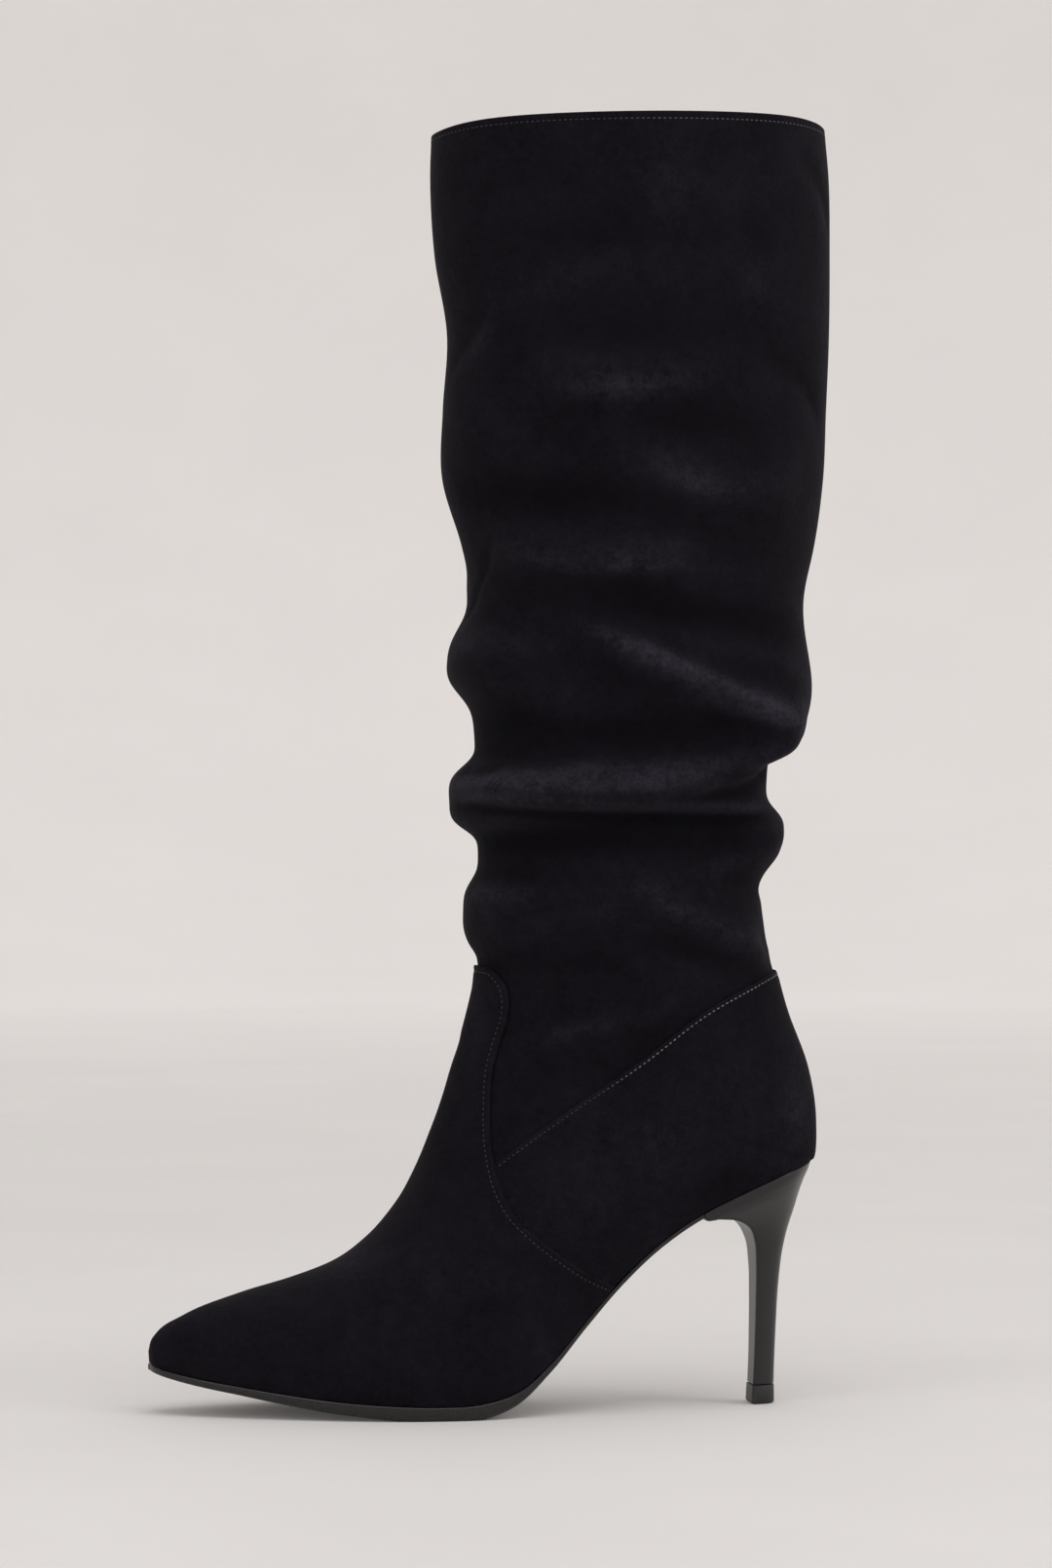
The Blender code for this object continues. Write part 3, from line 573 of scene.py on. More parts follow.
def seam_path(line, inner, count):
    """Places evenly along a seam that runs from the sole up to the front of the leg, on one side."""
    front = crossing(line, np.array([0.5]), FIRST_PLACE, True)[0]
    high = np.linspace(VAMP_TURN, front, 240)
    high_around = seam_around(line, high, inner)
    high_around[-1] = 0.5
    low_around = np.linspace(1.0 if inner else 0.0, high_around[0], 90)[:-1]
    place = np.concatenate([crossing(line, low_around, FIRST_PLACE, True), high])
    return evenly(place, np.concatenate([low_around, high_around]), count)


def counter_path(line, count):
    """Places evenly along the counter's seam, from behind the heel forward to where the vamp covers it."""
    low_place = np.linspace(COUNTER_TURN, COUNTER_END, 240)
    low_around = seam_around(line, low_place, False)
    back_around = np.linspace(0.0, low_around[0], 90)[:-1]
    place = np.concatenate([crossing(line, back_around, COUNTER_FIRST, False), low_place])
    around = np.concatenate([back_around, low_around])
    inside = surface(place, around, 0.0)[:, 0] > COUNTER_TUCK_X
    return evenly(place[inside], around[inside], count)


# Meshes
def only(*objects):
    bpy.ops.object.select_all(action="DESELECT")
    for each in objects:
        each.select_set(True)
    bpy.context.view_layer.objects.active = objects[0]


def grid_piece(name, points, values=None):
    """A grid primitive, its points laid on the given rows and columns of places in millimetres."""
    rows, columns = points.shape[:2]
    bpy.ops.object.select_all(action="DESELECT")
    bpy.ops.mesh.primitive_grid_add(x_subdivisions=columns - 1, y_subdivisions=rows - 1, size=2)
    piece = bpy.context.object
    piece.name = piece.data.name = name
    mesh = piece.data
    flat = np.empty(len(mesh.vertices) * 3)
    mesh.vertices.foreach_get("co", flat)
    flat = flat.reshape(-1, 3)
    column = np.rint((flat[:, 0] + 1) / 2 * (columns - 1)).astype(int)
    row = np.rint((flat[:, 1] + 1) / 2 * (rows - 1)).astype(int)
    placed = (points[row, column] - CENTRE) * MM
    mesh.vertices.foreach_set("co", placed.ravel())
    for key, value in (values or {}).items():
        layer = mesh.attributes.new(key, "FLOAT", "POINT")
        layer.data.foreach_set("value", value[row, column].astype(np.float32))
    mesh.update()
    return piece


def edit(piece, *steps, select="SELECT"):
    """Runs steps of the mesh editor on a piece, each an operator and its settings."""
    only(piece)
    bpy.ops.object.mode_set(mode="EDIT")
    bpy.ops.mesh.select_all(action=select)
    for step, settings in steps:
        step(**settings)
    bpy.ops.object.mode_set(mode="OBJECT")


def merge(piece, turned=False):
    """Welds a piece's seam and poles, and turns it inside out if its rows run the other way."""
    steps = [(bpy.ops.mesh.remove_doubles, {"threshold": WELD})]
    if turned:
        steps.append((bpy.ops.mesh.flip_normals, {}))
    edit(piece, *steps)


def capped(piece):
    """Welds a tube of loops, closes its ends and turns its faces outwards."""
    merge(piece)
    edit(piece, (bpy.ops.mesh.select_non_manifold, {}), (bpy.ops.mesh.edge_face_add, {}), select="DESELECT")
    edit(piece, (bpy.ops.mesh.normals_make_consistent, {"inside": False}))


def apply(piece, kind, **settings):
    only(piece)
    step = piece.modifiers.new(kind.title(), kind)
    for key, value in settings.items():
        setattr(step, key, value)
    bpy.ops.object.modifier_apply(modifier=step.name)


def finish_piece(piece, material, replaces=(), angle=40):
    only(piece)
    bpy.ops.object.shade_smooth_by_angle(angle=math.radians(angle))
    if not piece.data.materials:
        piece.data.materials.append(material)
    if replaces:
        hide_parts(*replaces)
    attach(piece, "root")
    return piece


# Colours and materials
def linear(code):
    """An sRGB hex colour as linear red, green and blue."""
    parts = [int(code[k : k + 2], 16) / 255 for k in (1, 3, 5)]
    return tuple(v / 12.92 if v <= 0.04045 else ((v + 0.055) / 1.055) ** 2.4 for v in parts)


def fill(tree, made, inputs):
    """Gives each named socket of a node its value, or links it to another node."""
    for key, value in inputs.items():
        if isinstance(value, bpy.types.NodeSocket):
            tree.links.new(value, made.inputs[key])
        else:
            made.inputs[key].default_value = value


def node(tree, kind, inputs=None, **settings):
    """Adds a node with its settings, socket values and links."""
    made = tree.nodes.new(kind)
    for key, value in settings.items():
        setattr(made, key, value)
    fill(tree, made, inputs or {})
    return made


def noise(tree, millimetres, detail=2.0, roughness=0.5, distortion=0.0):
    """Noise whose lumps are about that many millimetres across."""
    inputs = {
        "Vector": node(tree, "ShaderNodeTexCoord").outputs["Object"],
        "Scale": 1000.0 / millimetres,
        "Detail": detail,
        "Roughness": roughness,
        "Distortion": distortion,
    }
    return node(tree, "ShaderNodeTexNoise", inputs).outputs["Fac"]


def between(tree, fac, low, high, out_low=0.0, out_high=1.0):
    inputs = {"Value": fac, "From Min": low, "From Max": high, "To Min": out_low, "To Max": out_high}
    return node(tree, "ShaderNodeMapRange", inputs).outputs["Result"]


def mix(tree, fac, first, second):
    inputs = {"Factor": fac, 6: (*first, 1.0), 7: (*second, 1.0)}
    return node(tree, "ShaderNodeMix", inputs, data_type="RGBA").outputs[2]


def mottled(tree, fac, shade, dark):
    """A colour that sinks to a share of itself where fac is low."""
    return mix(tree, fac, tuple(value * dark for value in shade), shade)


def maths(tree, operation, first, second):
    return node(tree, "ShaderNodeMath", {0: first, 1: second}, operation=operation).outputs[0]


def bump(tree, height, distance, strength, under=None):
    inputs = {"Strength": strength, "Distance": distance, "Height": height}
    if under:
        inputs["Normal"] = under
    return node(tree, "ShaderNodeBump", inputs).outputs["Normal"]


def material_of(name, looks_of, *values):
    """The material of that name, made the first time that it is asked for."""
    made = bpy.data.materials.get(name)
    if not made:
        made = bpy.data.materials.new(name)
        made.use_nodes = True
        fill(made.node_tree, made.node_tree.nodes["Principled BSDF"], looks_of(made.node_tree, *values))
    return made


def brushed_suede(tree, dark, light, sheen):
    """Brushed goat suede, dyed black: a short pile over a fine grain, mottled in soft patches. Painted light
    and shade make it paler on ridges and darker in the hollows and creases, and the light catches its tips at
    a low angle."""
    nap_and_painted_light = node(tree, "ShaderNodeAttribute", attribute_name="nap_and_painted_light").outputs["Fac"]
    patches = between(tree, noise(tree, 34.0, 3.0, 0.6, 0.4), 0.38, 0.68, 0.0, 0.08)
    brush = between(tree, noise(tree, 5.0, 3.0, 0.6), 0.3, 0.75, 0.0, 0.09)
    fibres = between(tree, noise(tree, 1.6, 3.0, 0.7), 0.3, 0.7, 0.0, 0.14)
    tone = maths(tree, "ADD", maths(tree, "ADD", patches, brush), fibres)
    # Painted light and shade: the attribute raises the tone on painted highlights and lowers it in painted
    # shade
    tone = maths(tree, "MULTIPLY", tone, maths(tree, "POWER", 7.0, nap_and_painted_light))
    grain = bump(tree, noise(tree, 1.2, 3.0, 0.6, 0.8), 0.00026, 0.9)
    tips = bump(tree, noise(tree, 0.45, 2.0, 0.7), 0.00012, 0.5, grain)
    return {
        "Base Color": mix(tree, between(tree, tone, 0.0, 1.0), dark, light),
        "Normal": bump(tree, noise(tree, 7.0, 3.0, 0.55, 0.5), 0.0012, 0.35, tips),
        "Roughness": 0.88,
        "Specular IOR Level": 0.06,
        "Sheen Weight": sheen,
        "Sheen Roughness": 0.42,
        "Sheen Tint": (0.82, 0.8, 0.88, 1.0),
    }


def pigskin_lining(tree, shade):
    """Smooth pigskin lining, dyed black and pressed: pores about a millimetre apart and a low, even sheen."""
    return {
        "Base Color": mottled(tree, between(tree, noise(tree, 1.2), 0.3, 0.7), shade, 0.75),
        "Normal": bump(tree, noise(tree, 1.2, 2.0, 0.6), 0.0002, 0.5),
        "Roughness": 0.62,
    }


def polyester_thread(tree, shade, pale):
    """Bonded polyester thread, twisted and dyed black, with a painted highlight towards the back of the boot.
    """
    place = node(tree, "ShaderNodeTexCoord").outputs["Object"]
    place = node(tree, "ShaderNodeSeparateXYZ", {"Vector": place}).outputs
    # Painted highlight: paler towards the back of the boot, and weaker higher up the leg
    painted_highlight = between(tree, place["X"], 0.036, 0.054)
    painted_highlight = maths(tree, "MULTIPLY", painted_highlight, between(tree, place["Z"], 0.30, 0.40, 1.0, 0.3))
    twist = between(tree, noise(tree, 0.9, 1.0), 0.3, 0.7, 0.55, 1.0)
    return {"Base Color": mix(tree, maths(tree, "MULTIPLY", painted_highlight, twist), shade, pale), "Roughness": 0.5}


def waxed_rubber(tree, shade):
    """Moulded rubber sole, its edge inked and waxed: a narrow gloss on the edge, faint rubbing below."""
    rub = between(tree, noise(tree, 6.0, 3.0, 0.6), 0.35, 0.7)
    return {
        "Base Color": mottled(tree, rub, shade, 0.7),
        "Roughness": between(tree, rub, 0.0, 1.0, 0.24, 0.36),
        "Normal": bump(tree, noise(tree, 1.5, 2.0, 0.6), 0.00008, 0.4),
    }


def satin_plastic(tree, shade):
    """Moulded ABS heel, sprayed satin black: soft wide highlights with a faint orange peel."""
    return {
        "Base Color": mottled(tree, between(tree, noise(tree, 14.0), 0.3, 0.7), shade, 0.85),
        "Normal": bump(tree, noise(tree, 1.8), 0.00003, 0.4),
        "Roughness": 0.34,
    }


def hard_rubber(tree, shade):
    """Hard moulded polyurethane top piece: plain and slightly dull."""
    specks = between(tree, noise(tree, 0.8, 2.0, 0.6), 0.3, 0.7)
    return {"Base Color": mottled(tree, specks, shade, 0.8), "Roughness": 0.5}


def painted_floor(tree, shade, floor_glow, wall_glow):
    """Studio floor and wall painted matt off-white; they glow as painted light, more further from the boot
    and less higher up.
    """
    place = node(tree, "ShaderNodeTexCoord").outputs["Object"]
    away = node(tree, "ShaderNodeVectorMath", {0: place}, operation="LENGTH").outputs["Value"]
    height = node(tree, "ShaderNodeSeparateXYZ", {"Vector": place}).outputs["Z"]
    # Painted light: the glow rises with distance from the boot, where the lamps' light falls off, and fades
    # higher up the wall
    glow = between(tree, away, 0.8, 3.4, floor_glow, wall_glow)
    return {
        "Base Color": mottled(tree, between(tree, noise(tree, 260.0, 3.0, 0.6), 0.35, 0.7), shade, 0.965),
        "Roughness": 0.75,
        "Specular IOR Level": 0.25,
        "Emission Color": (*shade, 1.0),
        "Emission Strength": maths(tree, "MULTIPLY", glow, between(tree, height, 0.3, 1.3, 1.0, 0.82)),
    }


def suede():
    looks = bpy.context.scene.boot_looks
    colours = (looks.suede_dark, looks.suede_light)
    return material_of("black brushed suede", brushed_suede, *colours, looks.suede_sheen)


def lining_leather():
    return material_of("black pigskin lining", pigskin_lining, bpy.context.scene.boot_looks.lining)


# Pieces
def leg_places(count):
    """Places of the leg's rows, twice as close together through the folds as in the rest of the leg."""
    fine = np.linspace(LEG_START, LAST, 2000)
    height = np.interp(fine, np.arange(len(KNOTS)), (TABLE[:, 1] + TABLE[:, 3]) / 2)
    share = np.cumsum(np.gradient(height) * np.where((height > 165) & (height < 310), 2.0, 1.0))
    return np.interp(np.linspace(share[0], share[-1], count), share, fine)


def layer_depth(points):
    """How far the upper lies under the boot's outside, sinking towards the vamp and counter laid over it."""
    to_vamp = seam_distance(points, seam_line(VAMP_EDGE))
    to_counter = -seam_distance(points, seam_line(COUNTER_EDGE))
    near = np.maximum(smooth(-9.0, -1.0, -to_vamp), smooth(-9.0, -1.0, -to_counter))
    low = points[..., 2] < 166
    reach = smooth(176, 166, points[..., 2])
    return (SKIN + GAP) * np.where(low, near, near * reach)


def build_upper():
    looks = bpy.context.scene.boot_looks
    places = [np.linspace(0, 9, 26)[:-1], np.linspace(9, LEG_START, 50)[:-1], leg_places(236)]
    around = np.linspace(0, 1, UPPER_COLUMNS + 1)
    place, turn = np.meshgrid(np.concatenate(places), around, indexing="ij")
    outer = surface(place, turn, looks.crease_depth)
    normals = straight_out(place, turn)
    outside = outer - normals * layer_depth(outer)[..., None]
    half = looks.wall / MM / 2
    roll = np.array([
        outside[-1] - normals[-1] * half * (1 - math.cos(a)) + np.array([0, 0, half * math.sin(a)])
        for a in np.linspace(0, math.pi, 8)[1:]
    ])
    places = [np.linspace(LAST, LEG_START, 66)[1:], np.linspace(LEG_START, 0, 24)[1:]]
    inner_place, inner_turn = np.meshgrid(np.concatenate(places), around, indexing="ij")
    inner = surface(inner_place, inner_turn, 0.0, 0.5)
    loose = smooth(150, 190, inner[..., 2]) * smooth(460, 430, inner[..., 2])
    sunk = layer_depth(inner) + looks.wall / MM + LINING_SLACK * loose
    lining = inner - straight_out(inner_place, inner_turn) * sunk[..., None]
    # Painted light and shade of the suede, kept as an attribute: the collar's roll repeats its top row and
    # the lining has none
    tone = painted_light_tone(place, turn, looks.crease_depth)
    values = np.concatenate([tone, np.repeat(tone[-1:], len(roll), 0), np.zeros(lining.shape[:2])])
    piece = grid_piece("upper_suede", np.concatenate([outside, roll, lining]), {"nap_and_painted_light": values})
    piece.data.materials.append(suede())
    piece.data.materials.append(lining_leather())
    rows = np.arange(len(piece.data.polygons)) // UPPER_COLUMNS
    in_lining = rows >= len(outside) + len(roll) - 1
    piece.data.polygons.foreach_set("material_index", in_lining.astype(np.int32))
    merge(piece, turned=True)
    finish_piece(piece, None, ["upper"], 60)


def edge_roll(distance, width, height):
    """Bulge of a turned edge: it rises over the last few millimetres and rounds down at the very edge."""
    rise = height * smooth(9.0, 1.5, distance)
    to_edge = 1 - np.clip(distance / width, 0, 1)
    return rise - (height + 0.5) * (1 - np.sqrt(np.clip(1 - to_edge**2, 0, 1)))


def groove(distance, at, depth):
    """The dip that a row of stitches pulls into the suede."""
    return -depth * np.exp(-(((distance - at) / 0.8) ** 2))


def suede_panel(name, place, turn, lift, edge_distance, solid, turned):
    """A panel of suede laid over the upper, its outside raised by lift, with a painted highlight along its
    edge.
    """
    raised = surface(place, turn, 0.0) + straight_out(place, turn) * lift[..., None]
    # Painted light and shade of the suede, with a painted highlight along the panel's edge
    tone = painted_light_tone(place, turn, 0.0) + 0.2 * smooth(2.0, 0.4, edge_distance)
    piece = grid_piece(name, raised, {"nap_and_painted_light": tone})
    merge(piece, turned)
    apply(piece, "SOLIDIFY", thickness=SKIN * MM, offset=-1.0, use_even_offset=False)
    finish_piece(piece, suede(), [solid], 60)


def mirrored(outer, inner):
    """Rows over the whole boot, from those of its outer half and its inner half, which share the middle."""
    return np.concatenate([outer, inner[:, -2::-1]], axis=1)


def build_vamp():
    looks = bpy.context.scene.boot_looks
    edge = seam_line(VAMP_EDGE)
    toe = np.linspace(0, 1, 60)[:-1]
    share = np.linspace(0, 1, 80) ** 1.35
    halves = []
    for inner in (False, True):
        seam, turns = seam_path(edge, inner, 180)
        low = np.concatenate([toe * seam[0], seam])
        low_turn = np.concatenate([np.full(len(toe), 1.0 if inner else 0.0), turns])
        ridge = np.concatenate([toe * RIDGE_AT_SEAM, np.linspace(RIDGE_AT_SEAM, seam[-1], len(seam))])
        places = low[:, None] + (ridge - low)[:, None] * share[None, :]
        halves.append((places, low_turn[:, None] + (0.5 - low_turn)[:, None] * share[None, :]))
    place, turn = (mirrored(*half) for half in zip(*halves))
    distance = np.abs(seam_distance(surface(place, turn, 0.0), edge))
    lift = edge_roll(distance, 0.8, 0.3) + groove(distance, looks.edge_to_stitch / MM, 0.22)
    suede_panel("vamp_suede", place, turn, lift, distance, "vamp", True)


def build_counter():
    looks = bpy.context.scene.boot_looks
    top = seam_line(COUNTER_EDGE)
    half = 100
    top_place, top_around = (path[::-1] for path in counter_path(top, half + 1))
    low = np.linspace(7.9, LEG_START, 300)
    low_along = lengths(surface(low, np.zeros_like(low), 0.0))
    low_place = np.interp(np.linspace(0, low_along[-1], half + 1), low_along, low)
    share = np.concatenate([[0.0, 0.002], np.linspace(0, 1, 76)[1:] ** 1.25])[:, None]
    place = top_place[None, :] * (1 - share) + low_place[None, :] * share
    turn = top_around[None, :] * (1 - share)
    place, turn = mirrored(place, place)[::-1], mirrored(turn, 1 - turn)[::-1]
    turn[:, half] = 0.0
    points = surface(place, turn, 0.0)
    distance = np.abs(seam_distance(points, top))
    lift = edge_roll(distance, 0.9, 0.1) + groove(distance, looks.counter_to_stitch / MM, 0.2)
    lift = lift - 0.45 * smooth(9.0, 0.0, seam_distance(points, seam_line(VAMP_EDGE)))
    suede_panel("counter_suede", place, turn, lift, distance, "counter", False)


def stitch_row(name, path, normals, pitch, length, thick, material):
    """A row of stitches along a path: one stitch is modelled, then copied to each place."""
    bpy.ops.object.select_all(action="DESELECT")
    bpy.ops.mesh.primitive_uv_sphere_add(segments=8, ring_count=5, radius=0.5)
    first = bpy.context.object
    along = lengths(path)
    count = int(along[-1] // pitch)
    copies = []

    def along_path(values, at):
        return np.array([np.interp(at, along, values[:, i]) for i in range(3)])

    for k in range(count):
        at = (k + 0.5) * along[-1] / count
        ahead = along_path(path, at + 0.5) - along_path(path, at - 0.5)
        ahead /= np.linalg.norm(ahead)
        up = along_path(normals, at)
        up -= ahead * (up @ ahead)
        up /= np.linalg.norm(up)
        side = np.cross(up, ahead)
        spin = Matrix([[*row, 0.0] for row in np.stack([ahead, side, up], axis=1)] + [[0, 0, 0, 1]])
        size = Matrix.Diagonal((length, thick, thick * 0.8, 1.0))
        place = Matrix.Translation(((along_path(path, at) - CENTRE) * MM).tolist())
        mesh = first.data.copy()
        mesh.transform(place @ spin @ Matrix.Scale(MM, 4) @ size)
        copy = bpy.data.objects.new(name, mesh)
        bpy.context.scene.collection.objects.link(copy)
        copies.append(copy)
    bpy.data.objects.remove(first, do_unlink=True)
    only(*copies)
    bpy.ops.object.join()
    piece = bpy.context.object
    piece.name = piece.data.name = name
    return finish_piece(piece, material)


def path_on(place, around, lift):
    """A path on the boot's outside, raised by lift, and the directions straight out of it."""
    normals = straight_out(place, around)
    return surface(place, around, 0.0) + normals * lift, normals


def build_stitches():
    looks = bpy.context.scene.boot_looks
    thread = material_of("black polyester thread", polyester_thread, looks.thread, looks.thread_highlight)
    pitch, length, thick = looks.stitch_pitch / MM, looks.stitch_length / MM, looks.thread_thickness / MM
    line = seam_line(VAMP_EDGE, -looks.edge_to_stitch / MM)
    outer, inner = seam_path(line, False, 300), seam_path(line, True, 300)
    place, around = (np.concatenate([outer[k], inner[k][-2::-1]]) for k in (0, 1))
    path, normals = path_on(place, around, STITCH_LIFT)
    stitch_row("vamp_stitches", path, normals, pitch, length, thick, thread)
    line = seam_line(COUNTER_EDGE, looks.counter_to_stitch / MM)
    place, tries = counter_path(line, 300)
    path, normals = path_on(place, tries, -STITCH_LIFT)
    shown = seam_distance(path, seam_line(VAMP_EDGE)) > 1.0
    mirror_path, mirror_normals = path_on(place, 1 - tries, -STITCH_LIFT)
    path = np.concatenate([path[shown][::-1], mirror_path[shown][1:]])
    normals = np.concatenate([normals[shown][::-1], mirror_normals[shown][1:]])
    stitch_row("counter_stitches", path, normals, pitch, length, thick, thread)
    drop = looks.collar_to_stitch / MM / (KNOTS[-1] - KNOTS[-2])
    around = np.linspace(0, 1, 600)
    path, normals = path_on(np.full_like(around, LAST - drop), around, -STITCH_LIFT)
    stitch_row("collar_stitches", path, normals, pitch, length, thick, thread)


def sole_profile(width, thickness, edge, bevel):
    """Half of the sole's cross section, from the middle of its top round the edge to its bottom's middle."""
    top = [(width * s, 0.0) for s in (0.0, 0.5, 0.85)]
    side = [(width + edge - 0.25, 0.0), (width + edge, -0.25), (width + edge, -thickness * 0.45)]
    turn = [
        (width + edge - bevel * (1 - math.cos(a)), -thickness * 0.45 - (thickness * 0.55) * math.sin(a))
        for a in np.linspace(0, math.pi / 2, 6)[1:]
    ]
    bottom = [((width + edge - bevel) * s, -thickness) for s in (0.9, 0.6, 0.3, 0.0)]
    return top + side + turn + bottom


def build_outsole():
    looks = bpy.context.scene.boot_looks
    table = columns_of(SOLE)
    front = FEATHER[0].x - SOLE_MARGIN
    share = np.linspace(0, 1, 140)
    x = front + (BREAST_X - front) * (0.25 * share**2 + 0.75 * share) ** 1.25
    loops = []
    for at in x:
        thickness, edge, bevel = (float(np.interp(at, table[:, 0], table[:, k])) for k in (1, 2, 3))
        height, outer, inner = (float(v) for v in feather_at(at))
        rounding = math.sqrt(max(0.0, 1 - (max(0.0, front + TOE_ROUND - at) / TOE_ROUND) ** 2))
        middle, half = (outer + inner) / 2, (inner - outer) / 2
        edge *= rounding
        bevel = min(bevel, half + edge)
        bottom = min(thickness, height - GAP)
        profile = sole_profile(half, bottom, edge, bevel * rounding)
        inner_side = [(at, middle + w, height - GAP + d) for w, d in profile]
        outer_side = [(at, middle - w, height - GAP + d) for w, d in profile[-2:0:-1]]
        loops.append(inner_side + outer_side + inner_side[:1])
    piece = grid_piece("outsole_rubber", np.array(loops))
    capped(piece)
    rubber = material_of("black waxed rubber sole", waxed_rubber, looks.sole)
    finish_piece(piece, rubber, ["outsole"], 35)


def heel_loops(rings, steps):
    """Loops of the heel, straight across the breast and round behind, laid smoothly through its rings."""
    table = columns_of(rings)
    knots = (lengths(table[:, 0:2]) + lengths(table[:, 2:4])) / 2
    at = knots if steps is None else np.linspace(0, knots[-1], steps)
    turn = np.radians(np.linspace(0, 90, 20))
    loops = []
    for front_x, front_z, back_x, back_z, half, seat in through(knots, table, at):
        share = np.sin(turn)
        seat_x = HEEL[0].front_x + (LINE[-1, 0] - HEEL[0].front_x) * share
        height, outer, inner = feather_at(seat_x)
        round_half = half * np.cos(turn) ** 0.92
        outer_y = seat * (outer + 0.2) - (1 - seat) * round_half
        inner_y = seat * (inner - 0.2) + (1 - seat) * round_half
        outer_y[-1] = inner_y[-1] = 0.0
        sag = height - np.interp(share, [0, 1], [height[0], height[-1]])
        x = front_x + (back_x - front_x) * share
        z = front_z + (back_z - front_z) * share + seat * sag
        breast = [0.85, 0.5, 0.15]
        front_outer = np.array([x[0], outer_y[0], z[0]])
        front_inner = np.array([x[0], inner_y[0], z[0]])
        across = [front_outer + (front_inner - front_outer) * (1 - s) for s in breast]
        outer_side = np.stack([x, outer_y, z], axis=1)
        inner_side = np.stack([x, inner_y, z], axis=1)[:-1][::-1]
        loops.append(np.concatenate([outer_side, inner_side, np.array(across)[::-1], outer_side[:1]]))
    return np.array(loops)


def build_heel():
    looks = bpy.context.scene.boot_looks
    plastic = material_of("black satin ABS heel", satin_plastic, looks.heel)
    rubber = material_of("black polyurethane top piece", hard_rubber, looks.tip)
    for name, rings, steps, rounding, material, slot, solid in (
        ("heel_plastic", HEEL, 90, 0.35, plastic, "heel_plastic", "heel"),
        ("top_piece_rubber", TOP_PIECE, None, 0.2, rubber, "top_rubber", "top_piece"),
    ):
        piece = grid_piece(name, heel_loops(rings, steps))
        capped(piece)
        steep = math.radians(50)
        apply(piece, "BEVEL", width=rounding * MM, segments=2, limit_method="ANGLE", angle_limit=steep)
        finish_piece(piece, material, [solid], 35)


def build_insole():
    front = FEATHER[0].x + INSOLE_INSET + SOLE_MARGIN
    back = FEATHER[-1].x - INSOLE_INSET - SOLE_MARGIN
    share = (1 - np.cos(np.linspace(0, math.pi, 120))) / 2
    loops = []
    for at in front + (back - front) * share:
        height, outer, inner = (float(v) for v in feather_at(at))
        ends = min(1.0, (at - front) / 9, (back - at) / 9)
        rounding = math.sqrt(max(0.0, 1 - (1 - ends) ** 2))
        middle, half = (outer + inner) / 2, max(0.05, ((inner - outer) / 2 - INSOLE_INSET) * rounding + 0.02)
        arc = np.linspace(0, math.pi, 15)
        top = [(half * math.cos(a), INSOLE_THICK - 0.5 + 0.5 * math.sin(a)) for a in arc]
        low = [(-half * 0.97, 0.05), (0.0, 0.05), (half * 0.97, 0.05)]
        profile = top + low + top[:1]
        loops.append([(at, middle + w, height + d) for w, d in profile])
    piece = grid_piece("insole_leather", np.array(loops))
    capped(piece)
    finish_piece(piece, lining_leather(), ["insole"], 50)


def build_stage():
    looks = bpy.context.scene.boot_looks
    bpy.ops.object.select_all(action="DESELECT")
    bpy.ops.mesh.primitive_cylinder_add(vertices=128, radius=6.0, depth=6.0, location=(0, 0, 3.0))
    floor = bpy.context.object
    floor.name = floor.data.name = "studio_bowl"
    edit(floor, select="DESELECT")
    for face in floor.data.polygons:
        face.select = face.normal.z > 0.5
    bpy.ops.object.mode_set(mode="EDIT")
    bpy.ops.mesh.delete(type="FACE")
    bpy.ops.object.mode_set(mode="OBJECT")
    for edge in floor.data.edges:
        a, b = (floor.data.vertices[v].co.z for v in edge.vertices)
        edge.select = a < 0 and b < 0
    bpy.ops.object.mode_set(mode="EDIT")
    bpy.ops.mesh.bevel(offset=2.4, segments=16)
    bpy.ops.mesh.select_all(action="SELECT")
    bpy.ops.mesh.normals_make_consistent(inside=True)
    bpy.ops.object.mode_set(mode="OBJECT")
    bpy.ops.object.transform_apply(location=True)
    bpy.ops.object.shade_smooth_by_angle(angle=math.radians(40))
    glows = (looks.floor_glow, looks.wall_glow)
    made = material_of("pale painted studio floor", painted_floor, looks.floor, *glows)
    floor.data.materials.append(made)
    floor.visible_shadow = False
    for name, where, aim_z, size, power in (
        ("top softbox", (0.25, -0.5, 2.3), 0.2, (2.4, 1.8), looks.top_light),
        ("right softbox", (2.2, -1.2, 1.2), 0.25, (1.2, 1.8), looks.right_light),
        ("left softbox", (-2.2, -1.6, 1.1), 0.25, (1.2, 1.8), looks.left_light),
    ):
        bpy.ops.object.light_add(type="AREA", location=where)
        lamp = bpy.context.object
        lamp.name = lamp.data.name = name
        lamp.data.shape = "RECTANGLE"
        lamp.data.size, lamp.data.size_y = size
        lamp.data.energy = power
        ahead = np.array((0.0, 0.0, aim_z)) - np.array(where)
        flat = math.hypot(ahead[0], ahead[1])
        turn = math.atan2(ahead[1], ahead[0]) - math.pi / 2
        lamp.rotation_euler = (math.atan2(flat, -ahead[2]), 0.0, turn)
    world = bpy.data.worlds.new("studio air")
    world.use_nodes = True
    bpy.context.scene.world = world
    background = world.node_tree.nodes["Background"]
    background.inputs["Color"].default_value = (1.0, 0.99, 0.985, 1.0)
    background.inputs["Strength"].default_value = looks.air_light
    place = ((CAMERA_X - CENTRE[0]) * MM, (CAMERA_Y - CENTRE[1]) * MM, CAMERA_Z * MM)
    bpy.ops.object.camera_add(location=place)
    camera = bpy.context.object
    camera.name = camera.data.name = "photo camera"
    camera.rotation_euler = (math.pi / 2, 0.0, math.radians(CAMERA_TURN))
    camera.data.sensor_width = SENSOR
    camera.data.lens = SENSOR * CAMERA_DISTANCE * PIXELS_PER_MM / PHOTO_HEIGHT
    camera.data.clip_end = 60.0
    bpy.context.scene.camera = camera
    bpy.context.scene.view_settings.view_transform = "Standard"


